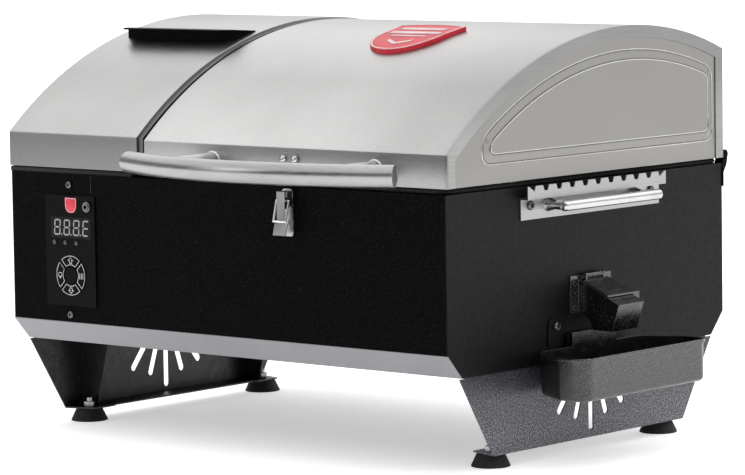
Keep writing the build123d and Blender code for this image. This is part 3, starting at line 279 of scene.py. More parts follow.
def brushed(name, tint, level, contrast, rough, along, grain=900.0, bump=0.25, shading=()):
    """Satin stainless, level in tone with contrast either way.

    along is the axis (0, 1 or 2) of its grain, grain how fine that is, and shading is for Shader.shaded,
    which paints light and shade in by place.
    """
    s = Shader(name, Metallic=1.0)
    scale = [1.0, 1.0, 1.0]
    scale[along] = 0.02
    streaks = s.noise(grain, 3.0, 0.6, s.stretched(scale))
    blotch = s.noise(7.0, 2.5, 0.55)
    tone = s.math("ADD", s.math("MULTIPLY", streaks, 0.5), s.math("MULTIPLY", blotch, 0.5))
    value = s.spread(tone, level * (1 - contrast), level * (1 + contrast), *NOISE_SPAN)
    colour = s.ramp(s.shaded(value, shading), [(0.0, grey(0.0)), (1.0, tint)])
    s.wire(Base_Color=colour, Roughness=s.spread(tone, rough - 0.05, rough + 0.07, *NOISE_SPAN))
    return s.wire(Normal=s.bump(streaks, bump, 0.00004))


def polished(name, tone, rough):
    """Bright plated metal with faint ripples and smears."""
    s = Shader(name, Metallic=1.0)
    smear = s.noise(40.0, 3.0, 0.6)
    s.wire(Base_Color=s.ramp(smear, [(0.25, grey(tone * 0.82)), (0.7, grey(tone))]))
    s.wire(Roughness=s.spread(smear, rough * 0.6, rough * 1.6, *NOISE_SPAN))
    return s.wire(Normal=s.bump(s.noise(180.0, 2.0), 0.12, 0.0003))


def powder_coat(name, dark, light, rough, grain, depth, speck, gloss, edge=0.0, shading=()):
    """Textured coating from dark to light, with bumps grain fine and depth metres high.

    Crests are painted lighter as speck grows and edges as edge grows, as painted highlights. shading is for
    Shader.shaded and paints light and shade in by place.
    """
    s = Shader(name, Specular_IOR_Level=gloss)
    bumps = s.noise(grain, 2.0, 0.55)
    # crests painted lighter as painted highlights, then painted light and shade by place
    lit = s.shaded(s.spread(bumps, 0.0, 1.0, 0.62 - speck * 0.2, 0.74 - speck * 0.12), shading)
    # edges painted lighter: painted highlights
    if edge:
        lit = s.math("MAXIMUM", lit, s.math("MULTIPLY", s.painted_highlight_edges(HIGHLIGHT_EDGE_WIDTH), edge))
    s.wire(Base_Color=s.ramp(lit, [(0.0, dark), (1.0, light)]))
    s.wire(Roughness=s.spread(s.noise(grain * 0.15, 2.0), rough - 0.06, rough + 0.08, *NOISE_SPAN))
    return s.wire(Normal=s.bump(bumps, 0.6, depth))


def satin_paint(name, dark, light, rough):
    """Smooth satin paint with a faint metallic fleck."""
    s = Shader(name, Metallic=0.25, Coat_Weight=0.15, Coat_Roughness=0.3)
    fleck = s.noise(2400.0, 1.0)
    cloud = s.noise(9.0, 2.0)
    tone = s.math("ADD", s.math("MULTIPLY", fleck, 0.35), s.math("MULTIPLY", cloud, 0.65))
    s.wire(Base_Color=s.ramp(tone, [(0.35, dark), (0.65, light)]))
    s.wire(Roughness=s.spread(cloud, rough - 0.05, rough + 0.05, *NOISE_SPAN))
    return s.wire(Normal=s.bump(fleck, 0.1, 0.00003))


def gloss_enamel(name, deep, bright):
    """Glossy domed enamel with slight waviness."""
    s = Shader(name, Coat_Weight=0.2, Coat_Roughness=0.2, Roughness=0.5, Specular_IOR_Level=0.25)
    wave = s.noise(70.0, 2.0)
    s.wire(Base_Color=s.ramp(wave, [(0.3, deep), (0.7, bright)]))
    return s.wire(Normal=s.bump(wave, 0.15, 0.0004))


def moulded(name, tone, rough):
    """Fine-grained moulded plastic or rubber with dusty patches."""
    s = Shader(name, Specular_IOR_Level=0.4)
    grain = s.noise(1500.0, 2.0)
    dust = s.noise(25.0, 3.0, 0.6)
    s.wire(Base_Color=s.ramp(dust, [(0.35, grey(tone * 0.8)), (0.75, grey(tone * 1.5))]))
    s.wire(Roughness=s.spread(dust, rough - 0.05, rough + 0.1, *NOISE_SPAN))
    return s.wire(Normal=s.bump(grain, 0.25, 0.0001))


def smooth_overlay(name, tone, rough, gloss):
    """Printed polyester overlay: nearly flat, slightly orange-peeled."""
    s = Shader(name, Specular_IOR_Level=gloss)
    peel = s.noise(350.0, 2.0)
    s.wire(Base_Color=s.ramp(s.noise(12.0), [(0.3, grey(tone * 0.85)), (0.7, grey(tone * 1.25))]))
    s.wire(Roughness=s.spread(peel, rough - 0.04, rough + 0.05, *NOISE_SPAN))
    return s.wire(Normal=s.bump(peel, 0.08, 0.0001))


def galvanised(name):
    """Zinc-coated sheet with its crystal pattern."""
    s = Shader(name, Metallic=0.9)
    spangle = s.soft_cells(120.0)
    s.wire(Base_Color=s.ramp(spangle, [(0.1, grey(0.36)), (0.6, grey(0.52))]))
    s.wire(Roughness=s.spread(spangle, 0.35, 0.55, 0.1, 0.7))
    return s.wire(Normal=s.bump(spangle, 0.1, 0.0001))


def heated_steel(name):
    """High-heat matt paint, browned in patches where it gets hottest."""
    s = Shader(name, Specular_IOR_Level=0.4)
    scorch = s.noise(14.0, 4.0, 0.6)
    browned, scorched = (0.055, 0.05, 0.045), (0.10, 0.085, 0.07)
    colour = s.ramp(scorch, [(0.3, grey(0.03)), (0.55, browned), (0.75, scorched)])
    s.wire(Base_Color=colour, Roughness=s.spread(scorch, 0.5, 0.75, *NOISE_SPAN))
    return s.wire(Normal=s.bump(s.noise(700.0), 0.3, 0.0002))


def braided_rope(name):
    """Glass-fibre rope, dark with paler fibres."""
    s = Shader(name, Roughness=0.95, Specular_IOR_Level=0.1)
    fibre = s.noise(1800.0, 2.0, 0.6)
    s.wire(Base_Color=s.ramp(fibre, [(0.35, grey(0.006)), (0.65, grey(0.03)), (0.8, grey(0.16))]))
    return s.wire(Normal=s.bump(fibre, 0.6, 0.0004))


def printed(name, colour, strength=0.0):
    """Printed ink or a lit segment, slightly uneven in cover."""
    s = Shader(name, Roughness=0.55)
    cover = s.noise(900.0, 2.0)
    faded = tuple(c * 0.8 for c in colour)
    s.wire(Base_Color=s.ramp(cover, [(0.35, faded), (0.6, colour)]))
    if strength:
        s.set(Emission_Color=(*colour, 1.0), Emission_Strength=strength)
    return s.wire(Normal=s.bump(cover, 0.05, 0.00005))


# painted light and shade: shares of tone along an axis, for Shader.shaded
LID_SPAN = ("Z", 0.26, 0.42)
# keeps the lips' painted shade to the front lip
LIP_SHADE_MASK = ("Y", -0.1703, -0.1685)
# the lid's top: a painted highlight just above the front crease, painted shade over the middle and back
LID_TOP_PAINTED_LIGHT = (*LID_SPAN, [(0.217, 1.0), (0.224, 1.08), (0.40, 0.98), (0.58, 0.80), (1.0, 0.86)], None)
# the main lid's front lip: painted shade, darkest just under the crease
LID_LIP_PAINTED_SHADE = (*LID_SPAN, [(0.03, 0.96), (0.12, 0.86), (0.217, 0.62), (0.224, 1.0)], LIP_SHADE_MASK)
# the pellet lid's front lip: deeper painted shade
HOPPER_LIP_PAINTED_SHADE = (*LID_SPAN, [(0.03, 0.54), (0.13, 0.50), (0.233, 0.40), (0.241, 1.0)], LIP_SHADE_MASK)
# painted shade across the lids: darker towards both ends, darkest on the right end's folded band
LID_ACROSS_PAINTED_SHADE_STOPS = [(0.0, 0.84), (0.30, 0.92), (0.36, 1.0), (0.70, 0.97), (0.90, 0.82), (0.990, 0.78),
                  (0.998, 0.62)]
LID_ACROSS_PAINTED_SHADE = ("X", -0.31, 0.2588, LID_ACROSS_PAINTED_SHADE_STOPS, None)
# the drip tray: painted shade, darker towards the bottom
TRAY_LOW_PAINTED_SHADE = ("Z", 0.06, 0.12, [(0.0, 0.55), (0.9, 1.0)], None)
# the drip tray: painted shade on its side, corner and inside, away from its outer face
TRAY_SIDE_PAINTED_SHADE = ("X", 0.318, 0.3335, [(0.0, 0.10), (1.0, 1.0)], None)
# the leg: painted shadow under the body, darker towards the top
LEG_PAINTED_SHADOW = ("Z", 0.03, 0.105, [(0.0, 0.95), (0.4, 0.60), (1.0, 0.12)], None)

LID_TINT, END_TINT, PLAIN_TINT = (1.0, 0.992, 0.985), (1.0, 0.975, 0.94), (1.0, 1.0, 1.0)
STEEL_LID = brushed("steel_lid", LID_TINT, level=0.50, contrast=0.17, rough=0.33, along=1, grain=700.0,
                    bump=0.35, shading=(LID_TOP_PAINTED_LIGHT, LID_LIP_PAINTED_SHADE, LID_ACROSS_PAINTED_SHADE))
# the lid steel again, with deeper painted shade on the pellet lid's lip
STEEL_HOPPER = brushed("steel_hopper", LID_TINT, level=0.50, contrast=0.17, rough=0.33, along=1,
                       grain=700.0, bump=0.35, shading=(LID_TOP_PAINTED_LIGHT, HOPPER_LIP_PAINTED_SHADE, LID_ACROSS_PAINTED_SHADE))
# a warmer steel brushed upright; its lower level than the lid's paints the upright ends' shade into it
STEEL_END = brushed("steel_end", END_TINT, level=0.275, contrast=0.07, rough=0.36, along=2, grain=500.0,
                    bump=0.12)
STEEL_TUBE = brushed("steel_tube", PLAIN_TINT, level=0.36, contrast=0.16, rough=0.30, along=0,
                     grain=450.0, bump=0.06)
STEEL_RACK = brushed("steel_rack", PLAIN_TINT, level=0.36, contrast=0.14, rough=0.28, along=1)
STEEL_POST = brushed("steel_post", PLAIN_TINT, level=0.62, contrast=0.12, rough=0.34, along=1,
                     grain=450.0, bump=0.06)
# bright steel for the creases' fine wires: a painted highlight along each crease
STEEL_CREASE_HIGHLIGHT = polished("steel_crease_highlight", tone=0.70, rough=0.22)
STEEL_SHADE = brushed("steel_shade", END_TINT, level=0.15, contrast=0.1, rough=0.40, along=2)
STEEL_POLISHED = polished("steel_polished", tone=0.60, rough=0.12)
ZINC = polished("zinc_plate", tone=0.50, rough=0.28)
LEVER = polished("lever_plate", tone=0.30, rough=0.30)
WIRE = polished("bright_wire", tone=0.90, rough=0.25)
BLACK_COAT = powder_coat("black_powder_coat", grey(0.0005), grey(0.035), rough=0.42, grain=1300.0,
                         depth=0.00025, speck=0.0, gloss=0.03)
# the front's black coat again with its own tone and gloss: painted light and shade of the side panels and
# tray hanger
SIDE_COAT = powder_coat("side_powder_coat", grey(0.002), grey(0.020), rough=0.46, grain=1300.0,
                        depth=0.00025, speck=0.0, gloss=0.14)
# edge and speck paint highlights on edges and crests, and shading paints light and shade in by place
HAMMERED = powder_coat("hammered_black", grey(0.006), grey(0.13), rough=0.20, grain=700.0, depth=0.0003,
                       speck=0.7, gloss=0.7, edge=0.8, shading=(TRAY_LOW_PAINTED_SHADE, TRAY_SIDE_PAINTED_SHADE))
CHUTE_COAT = powder_coat("chute_black", grey(0.002), grey(0.14), rough=0.18, grain=620.0, depth=0.00022,
                         speck=0.0, gloss=0.9, edge=0.7)
LEG_COAT = powder_coat("leg_hammered", (0.008, 0.008, 0.010), (0.22, 0.22, 0.255), rough=0.32,
                       grain=620.0, depth=0.0003, speck=1.0, gloss=0.4, edge=0.5, shading=(LEG_PAINTED_SHADOW,))
# a darker copy of the leg coat for the left leg, seen from inside: painted shade
LEG_PAINTED_SHADE = powder_coat("leg_painted_shade", grey(0.003), grey(0.05), rough=0.34, grain=620.0, depth=0.0003,
                       speck=0.3, gloss=0.45, edge=0.6)
SILVER = satin_paint("silver_paint", (0.235, 0.234, 0.25), (0.29, 0.288, 0.308), rough=0.42)
RED = gloss_enamel("red_enamel", (0.52, 0.010, 0.026), (0.62, 0.014, 0.034))
PALE_EDGE = gloss_enamel("pale_enamel", (0.70, 0.52, 0.52), (0.80, 0.64, 0.63))
RUBBER = moulded("black_rubber", tone=0.008, rough=0.7)
PLASTIC = moulded("black_plastic", tone=0.012, rough=0.5)
CAP = moulded("grey_cap", tone=0.07, rough=0.5)
OVERLAY = smooth_overlay("panel_overlay", tone=0.0022, rough=0.4, gloss=0.06)
WINDOW = smooth_overlay("display_window", tone=0.002, rough=0.22, gloss=0.12)
ZINC_SHEET = galvanised("galvanised_sheet")
HEATED = heated_steel("high_heat_paint")
PORCELAIN = powder_coat("porcelain_wire", grey(0.012), grey(0.03), rough=0.28, grain=400.0, depth=0.0002,
                        speck=0.0, gloss=0.5)
ROPE = braided_rope("seal_rope")
BLACK_OXIDE = polished("black_oxide", tone=0.16, rough=0.22)
INK = printed("white_ink", (0.72, 0.74, 0.76))
SEGMENT = printed("segment_ink", (0.34, 0.35, 0.36), strength=0.10)
RED_PRINT = printed("red_print", (0.80, 0.05, 0.09))
SEAM = printed("seam_paint", (0.035, 0.04, 0.038))
LAMP_LENS = smooth_overlay("lamp_lens", tone=0.05, rough=0.2, gloss=0.5)

NODE_MATERIALS = {
    STEEL_LID: ["main_lid_skin"],
    STEEL_HOPPER: ["hopper_lid_skin"],
    STEEL_END: ["main_lid_ends", "hopper_lid_ends"],
    STEEL_TUBE: ["lid_handle_tube"],
    STEEL_RACK: ["tool_rack", "latch_catch", "igniter_rod", "temperature_probe"],
    STEEL_POST: ["lid_handle_posts"],
    STEEL_POLISHED: ["side_handle_bars", "side_handle_posts"],
    WIRE: ["latch_bail"],
    ZINC: ["latch_base", "foot_studs", "hopper_guard"],
    LEVER: ["latch_lever"],
    BLACK_COAT: ["floor_pan", "front_panel", "back_panel", "hopper_lid_lip", "hinge_brackets",
                 "main_hinge_leaves", "hopper_hinge_leaves"],
    SIDE_COAT: ["left_side_panel", "right_side_panel", "tray_hanger"],
    HAMMERED: ["drip_tray"],
    CHUTE_COAT: ["grease_chute", "chute_flap"],
    LEG_COAT: ["right_leg"],
    LEG_PAINTED_SHADE: ["left_leg"],
    SILVER: ["front_trim_strip"],
    RED: ["badge"],
    RUBBER: ["rubber_feet"],
    PLASTIC: ["controller_box", "power_inlet"],
    CAP: ["lid_handle_caps"],
    OVERLAY: ["control_faceplate", "key_right", "key_up", "key_left", "key_down", "key_centre"],
    WINDOW: ["display_and_lamps"],
    ZINC_SHEET: ["hopper_bin", "auger_tube", "auger_screw", "auger_motor", "fan_housing", "fan_impeller"],
    HEATED: ["divider_wall", "burn_pot", "heat_baffle", "grease_pan", "grate_rests"],
    PORCELAIN: ["cooking_grate"],
    ROPE: ["rim_seals"],
    BLACK_OXIDE: ["cabinet_screws", "probe_jack"],
}
# the width of rounded edges in mm; an edge is rounded above EDGE_ANGLE degrees and merged below FLAT_ANGLE
EDGE_MM = {"main_lid_skin": 0.5, "hopper_lid_skin": 0.5, "main_lid_ends": 0.8, "drip_tray": 0.3,
           "rubber_feet": 1.2}
EDGE_DEFAULT_MM = 0.35
EDGE_ANGLE, FLAT_ANGLE = 32, 0.2


def paint(obj, material):
    obj.data.materials.clear()
    obj.data.materials.append(material)


def soften(obj, width):
    """Small rounded edges on a CAD mesh, by modifiers only."""
    weld = obj.modifiers.new("weld", "WELD")
    weld.merge_threshold = SAME_CAD_POINT
    merge = obj.modifiers.new("merge_flats", "DECIMATE")
    merge.decimate_type = "DISSOLVE"
    merge.angle_limit = math.radians(FLAT_ANGLE)
    bevel = obj.modifiers.new("edge_round", "BEVEL")
    bevel.width = width
    bevel.segments = 2
    bevel.limit_method = "ANGLE"
    bevel.angle_limit = math.radians(EDGE_ANGLE)
    bevel.harden_normals = True
    obj.modifiers.new("even_shading", "WEIGHTED_NORMAL")


def dress_cad_nodes():
    for material, names in NODE_MATERIALS.items():
        for name in names:
            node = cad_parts[name]
            paint(node, material)
            soften(node, EDGE_MM.get(name, EDGE_DEFAULT_MM) * MM)


# ---------------------------------------------------------------- places and mesh helpers

def lid_height(y, radius):
    """The height at y of a curve round the lids' centre."""
    return LID_ARC[1] + math.sqrt(radius ** 2 - (y - LID_ARC[0]) ** 2)


def circle(cu, cv, radius, sides):
    """Points round (cu, cv)."""
    turns = [2 * math.pi * k / sides for k in range(sides)]
    return [(cu + radius * math.cos(a), cv + radius * math.sin(a)) for a in turns]


def at(x, y, z):
    """Cabinet millimetres to the frame's metres."""
    return Vector((x - CABINET_SHIFT[0], y - CABINET_SHIFT[1], z)) * MM


def on_front(depth):
    """Places (x, z) millimetres on the front, depth forward of the cabinet's face."""
    return lambda u, v, thick: at(u, FRONT_Y - depth - thick, v)


def piece(name, mesh_maker, material, body):
    """A new piece: mesh_maker fills a bmesh, and the result rides on a body."""
    bm = bmesh.new()
    mesh_maker(bm)
    bmesh.ops.remove_doubles(bm, verts=bm.verts, dist=SAME_POINT)
    bmesh.ops.recalc_face_normals(bm, faces=bm.faces)
    mesh = bpy.data.meshes.new(name)
    bm.to_mesh(mesh)
    bm.free()
    obj = bpy.data.objects.new(name, mesh)
    bpy.context.scene.collection.objects.link(obj)
    mesh.materials.append(material)
    mesh.shade_smooth()
    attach(obj, body)
    return obj


def evenly(points, step):
    """The same closed line with points a step apart."""
    spans = [(points[i], points[(i + 1) % len(points)]) for i in range(len(points))]
    total = sum((b - a).length for a, b in spans)
    count = int(total / step)
    result, run, index = [], 0.0, 0
    for k in range(count):
        target = total * k / count
        while run + (spans[index][1] - spans[index][0]).length < target:
            run += (spans[index][1] - spans[index][0]).length
            index += 1
        a, b = spans[index]
        result.append(a + (b - a) * ((target - run) / max((b - a).length, 1e-9)))
    return result


def closed_tube(bm, points, radius, sides):
    """A round tube along a closed line of points."""
    count = len(points)
    rings = []
    for i, point in enumerate(points):
        along = (points[(i + 1) % count] - points[i - 1]).normalized()
        side = along.cross(Vector((0, 0, 1)))
        if side.length < 0.1:
            side = along.cross(Vector((0, 1, 0)))
        side.normalize()
        up = side.cross(along).normalized()
        ring = []
        for k in range(sides):
            turn = 2 * math.pi * k / sides
            ring.append(bm.verts.new(point + radius * (math.cos(turn) * side + math.sin(turn) * up)))
        rings.append(ring)
    for i in range(count):
        near, far = rings[i], rings[(i + 1) % count]
        for k in range(sides):
            bm.faces.new((near[k], near[(k + 1) % sides], far[(k + 1) % sides], far[k]))


def stacked(bm, loops):
    """A solid from closed loops of vertices, one above the other."""
    count = len(loops[0])
    for low, high in zip(loops, loops[1:]):
        for k in range(count):
            bm.faces.new((low[k], low[(k + 1) % count], high[(k + 1) % count], high[k]))
    bm.faces.new(list(reversed(loops[0])))
    bm.faces.new(loops[-1])


def plaque(bm, outline, place, thick):
    """A flat shape of (u, v) points made solid; place turns (u, v, height) into a point."""
    low = [bm.verts.new(place(u, v, 0.0)) for u, v in outline]
    high = [bm.verts.new(place(u, v, thick)) for u, v in outline]
    bm.faces.new(low)
    bm.faces.new(high)
    for i in range(len(outline)):
        j = (i + 1) % len(outline)
        bm.faces.new((low[i], low[j], high[j], high[i]))


def turned_shape(bm, place, profile, sides=20):
    """A shape turned round an axis from (radius, height) pairs; place turns (u, v, height) into a point."""
    stacked(bm, [[bm.verts.new(place(u, v, up)) for u, v in circle(0, 0, r, sides)] for r, up in profile])


def domed(bm, x, y, z, profile):
    """A small round shape that stands out forwards from (x, y, z)."""
    turned_shape(bm, lambda u, v, up: at(x + u, y - up, z + v), profile)


# ---------------------------------------------------------------- camera, light and floor

def set_camera():
    data = bpy.data.cameras.new("camera")
    camera = bpy.data.objects.new("camera", data)
    bpy.context.scene.collection.objects.link(camera)
    turn = Matrix.Rotation(math.radians(AZIMUTH), 4, "Z")
    tilt = Matrix.Rotation(math.radians(90 + PITCH), 4, "X")
    roll = Matrix.Rotation(math.radians(ROLL), 4, "Z")
    camera.matrix_world = Matrix.Translation(EYE) @ turn @ tilt @ roll
    data.lens = LENS
    data.shift_x, data.shift_y = SHIFT
    data.clip_end = FAR_END
    bpy.context.scene.camera = camera


def area_light(name, place, target, size, power):
    data = bpy.data.lights.new(name, "AREA")
    data.shape = "RECTANGLE"
    data.size, data.size_y = size
    data.energy = power
    light = bpy.data.objects.new(name, data)
    light.location = place
    light.rotation_euler = (Vector(target) - Vector(place)).to_track_quat("-Z", "Y").to_euler()
    bpy.context.scene.collection.objects.link(light)


def set_studio():
    """Soft light from above and behind, with a darker room in front."""
    bpy.context.scene.view_settings.view_transform = "Standard"
    world = bpy.data.worlds.new("studio")
    bpy.context.scene.world = world
    world.use_nodes = True
    tree = world.node_tree
    background = tree.nodes["Background"]
    direction = tree.nodes.new("ShaderNodeTexCoord").outputs["Generated"]
    split = tree.nodes.new("ShaderNodeSeparateXYZ")
    tree.links.new(direction, split.inputs[0])
    depth = tree.nodes.new("ShaderNodeMath")
    depth.operation = "MULTIPLY_ADD"
    tree.links.new(split.outputs["X"], depth.inputs[0])
    depth.inputs[1].default_value = SIDE_SHARE
    tree.links.new(split.outputs["Y"], depth.inputs[2])
    ramp = tree.nodes.new("ShaderNodeMapRange")
    limits = {"From Min": -ROOM_SPAN, "From Max": ROOM_SPAN, "To Min": ROOM_FRONT, "To Max": ROOM_BACK}
    for name, value in limits.items():
        ramp.inputs[name].default_value = value
    tree.links.new(depth.outputs[0], ramp.inputs["Value"])
    tree.links.new(ramp.outputs["Result"], background.inputs["Strength"])
    background.inputs["Color"].default_value = (1, 1, 1, 1)
    sky = bpy.data.lights.new("overhead", "SUN")
    sky.energy, sky.angle = OVERHEAD, math.radians(OVERHEAD_SPREAD)
    lamp = bpy.data.objects.new("overhead", sky)
    lamp.rotation_euler = (*(math.radians(lean) for lean in OVERHEAD_LEAN), 0)
    bpy.context.scene.collection.objects.link(lamp)
    area_light("front_left_card", CARD_PLACE, CARD_TARGET, CARD_SIZE, CARD_POWER)


def set_floor():
    """A wide pale floor with a little light of its own."""
    bm = bmesh.new()
    signs = ((-1, -1), (1, -1), (1, 1), (-1, 1))
    corners = [bm.verts.new((x * FLOOR_REACH, y * FLOOR_REACH, 0)) for x, y in signs]
    bm.faces.new(corners)
    mesh = bpy.data.meshes.new("floor")
    bm.to_mesh(mesh)
    bm.free()
    floor = bpy.data.objects.new("floor", mesh)
    bpy.context.scene.collection.objects.link(floor)
    s = Shader("pale_floor", Roughness=0.8, Emission_Color=(1.0, 1.0, 1.0, 1.0), Emission_Strength=FLOOR_GLOW)
    tone = s.ramp(s.noise(0.6), [(0.3, grey(0.86)), (0.7, grey(0.9))])
    mesh.materials.append(s.wire(Base_Color=tone))


# ---------------------------------------------------------------- control panel print

def ring_arc(radius, start, stop, steps=14):
    """Points on a circle round the keypad's centre, in degrees."""
    turns = [math.radians(start + (stop - start) * i / steps) for i in range(steps + 1)]
    return [(KEYS_X + radius * math.cos(t), KEYS_Z + radius * math.sin(t)) for t in turns]


def ribbon(bm, path, width, place, thick):
    """A closed line of even width along path, made of mitred quads."""
    count = len(path)
    inner, outer = [], []
    for i, (x, z) in enumerate(path):
        before, after = Vector(path[i - 1]), Vector(path[(i + 1) % count])
        here = Vector((x, z))
        a, b = (here - before).normalized(), (after - here).normalized()
        side = Vector((-(a + b).y, (a + b).x)).normalized()
        reach = width / 2 / max(0.35, abs(side.dot(Vector((-b.y, b.x)))))
        inner.append(here - side * reach)
        outer.append(here + side * reach)
    for i in range(count):
        j = (i + 1) % count
        plaque(bm, [tuple(inner[i]), tuple(inner[j]), tuple(outer[j]), tuple(outer[i])], place, thick)


def key_outline(turn):
    """A quarter of the keypad's ring, with a gap at both ends."""
    gap = math.degrees(KEY_GAP / KEY_OUTER)
    gap_in = math.degrees(KEY_GAP / KEY_INNER)
    far = ring_arc(KEY_OUTER, turn - 45 + gap, turn + 45 - gap)
    near = ring_arc(KEY_INNER, turn + 45 - gap_in, turn - 45 + gap_in)
    return far + near


def on_key(points, turn):
    """A sign's points (across, outward), carried out along one key's direction."""
    t = math.radians(turn)
    result = []
    for u, v in points:
        reach = SIGN_REACH + v
        x = KEYS_X + reach * math.cos(t) - u * math.sin(t)
        z = KEYS_Z + reach * math.sin(t) + u * math.cos(t)
        result.append((x, z))
    return result


def key_print(turn, sign):
    """A key's outline with its sign: an arrow, a ring with a bar, or three bars."""
    place = on_front(KEY_PROUD)

    def make(bm):
        ribbon(bm, key_outline(turn), OUTLINE_WIDTH, place, INK_T)
        if sign == "arrow":
            ribbon(bm, on_key(ARROW, turn), SIGN_WIDTH, place, INK_T)
        elif sign == "ring":
            ribbon(bm, on_key(circle(0, 0, RING_RADIUS, 18), turn), SIGN_WIDTH, place, INK_T)
            plaque(bm, on_key(RING_BAR, turn), place, OVER_INK_T)
        else:
            for v in BAR_ROWS:
                low, high = v - BAR_HALF, v + BAR_HALF
                bar = [(-BAR_REACH, low), (BAR_REACH, low), (BAR_REACH, high), (-BAR_REACH, high)]
                plaque(bm, on_key(bar, turn), place, INK_T)
    return make


CHARACTERS = "888E"
LIT_SEGMENTS = {"8": "abcdefg", "E": "adefg"}


def segment(kind, x, z):
    """Six-sided bar of a seven-segment character with its lower left corner at (x, z)."""
    half, mid = STROKE / 2, z + DIGIT_HIGH / 2
    level = {"a": z + DIGIT_HIGH - half, "g": mid, "d": z + half}
    if kind in level:
        y = level[kind]
        x0, x1 = x + STROKE * LEVEL_IN, x + DIGIT_WIDE - STROKE * LEVEL_IN
        return [(x0, y), (x0 + half, y + half), (x1 - half, y + half), (x1, y), (x1 - half, y - half),
                (x0 + half, y - half)]
    cx = x + half if kind in "fe" else x + DIGIT_WIDE - half
    z0, z1 = (mid, z + DIGIT_HIGH) if kind in "fb" else (z, mid)
    z0, z1 = z0 + STROKE * UPRIGHT_IN, z1 - STROKE * UPRIGHT_IN
    return [(cx, z0), (cx + half, z0 + half), (cx + half, z1 - half), (cx, z1), (cx - half, z1 - half),
            (cx - half, z0 + half)]


def display_digits(bm):
    """The display's characters, leaning a little, with a dot after each but the last."""
    place = on_front(WINDOW_PROUD)
    for i, character in enumerate(CHARACTERS):
        x0 = DIGITS_X + DIGIT_PITCH * i
        for kind in LIT_SEGMENTS[character]:
            shape = [(x + (z - DIGITS_Z) * DIGIT_LEAN, z) for x, z in segment(kind, x0, DIGITS_Z)]
            plaque(bm, shape, place, INK_T)
        if i < len(CHARACTERS) - 1:
            dot = circle(x0 + DIGIT_WIDE + DOT_OUT, DIGITS_Z + DOT_UP, DOT_RADIUS, 12)
            plaque(bm, dot, place, INK_T)


def shield_outline(top, wide, high, steps=8):
    """Plain shield with its flat edge up; the lower 0.55 of its height is curved."""
    left = []
    for i in range(steps + 1):
        t = i / steps * math.pi / 2
        x = EMBLEM_X - wide / 2 * math.cos(t) ** 0.7
        left.append((x, top - high * 0.45 - high * 0.55 * math.sin(t)))
    right = [(2 * EMBLEM_X - x, z) for x, z in reversed(left[:-1])]
    return [(EMBLEM_X + wide / 2, top), (EMBLEM_X - wide / 2, top)] + left + right


def panel_emblem(bm):
    plaque(bm, shield_outline(*EMBLEM_SHAPE), on_front(PLATE_PROUD), INK_T)


def panel_emblem_border(bm):
    ribbon(bm, shield_outline(*EMBLEM_LINE_SHAPE), EMBLEM_LINE, on_front(PLATE_PROUD + INK_T), INK_T)


def lamp_lenses(bm):
    """Domed lens in a thin ring for each lamp."""
    for x in LAMPS_X:
        domed(bm, x, FRONT_Y - PLATE_PROUD - LAMP_PROUD, LAMPS_Z, LENS_PROFILE)


def panel_seam(bm):
    """Edge of the sheet behind the rim, showing as a fine line above the keypad plate."""
    x0, x1 = SEAM_X
    z0, z1 = SEAM_Z
    plaque(bm, [(x0, z0), (x1, z0), (x1, z1), (x0, z1)], on_front(0.0), SEAM_T)


# ---------------------------------------------------------------- badge

def badge_outline(inset, steps=9):
    """The badge's plan in cabinet millimetres, moved in by inset: its right side, its left side, its top."""
    wide, corner, tip = BADGE_HALF - inset, BADGE_TOP - inset, BADGE_TIP + inset
    low = wide - BADGE_TAPER
    right = [(wide, corner), (low, BADGE_SIDE)]
    for i in range(1, steps + 1):
        t = math.pi / 2 * i / steps
        right.append((low * math.cos(t) ** 0.82, BADGE_SIDE + (tip - BADGE_SIDE) * math.sin(t)))
    left = [(-x, y) for x, y in reversed(right[:-1])]
    top = [(-wide + 2 * wide * k / 8, corner + BADGE_BOW * (1 - (1 - k / 4) ** 2)) for k in range(1, 8)]
    return [(BADGE_X + x, y) for x, y in right + left + top]


def on_badge(u, v, thick):
    return at(u, v, lid_height(v, LID_RADIUS + BADGE_T + thick))


def badge_border(bm):
    ribbon(bm, badge_outline(BORDER_IN), BORDER_WIDTH, on_badge, RELIEF_T)


def badge_motif(bm):
    """Plain bars, then a chevron towards the point."""
    for y, reach, deep in BADGE_BARS:
        bar = [(-reach, y), (-reach, y - deep), (reach, y - deep), (reach, y)]
        plaque(bm, [(BADGE_X + x, v) for x, v in bar], on_badge, RELIEF_T)
    for side in (-1, 1):
        plaque(bm, [(BADGE_X + side * x, v) for x, v in BADGE_CHEVRON], on_badge, RELIEF_T)


# ---------------------------------------------------------------- lid end, foam strip and folded edge

def rounded(points, radius, steps=7):
    """A closed line of (point, is_corner) with each corner cut back by radius and curved round."""
    result = []
    for i, (point, is_corner) in enumerate(points):
        if not is_corner:
            result.append(point)
            continue
        before, after = points[i - 1][0], points[(i + 1) % len(points)][0]
        start = point + (before - point).normalized() * min(radius, (before - point).length * 0.9)
        stop = point + (after - point).normalized() * min(radius, (after - point).length * 0.9)
        for k in range(steps + 1):
            t = k / steps
            result.append(start * (1 - t) ** 2 + point * 2 * t * (1 - t) + stop * t ** 2)
    return result


def pressed_outline(inset, steps=20):
    """The pressed panel's outline in a lid end, as (y, z) millimetres."""
    step = inset - PRESS_IN
    y0, y1, z0 = PRESS_Y[0] + step, PRESS_Y[1] - step, PRESS_Z + step
    outline = []
    for k in range(steps + 1):
        y = y0 + (y1 - y0) * k / steps
        outline.append((Vector((y, lid_height(y, LID_RADIUS - inset))), k in (0, steps)))
    outline += [(Vector((y1, z0)), True), (Vector((y0, z0)), True)]
    return rounded(outline, PRESS_CORNER - PRESS_TIGHTEN * step)


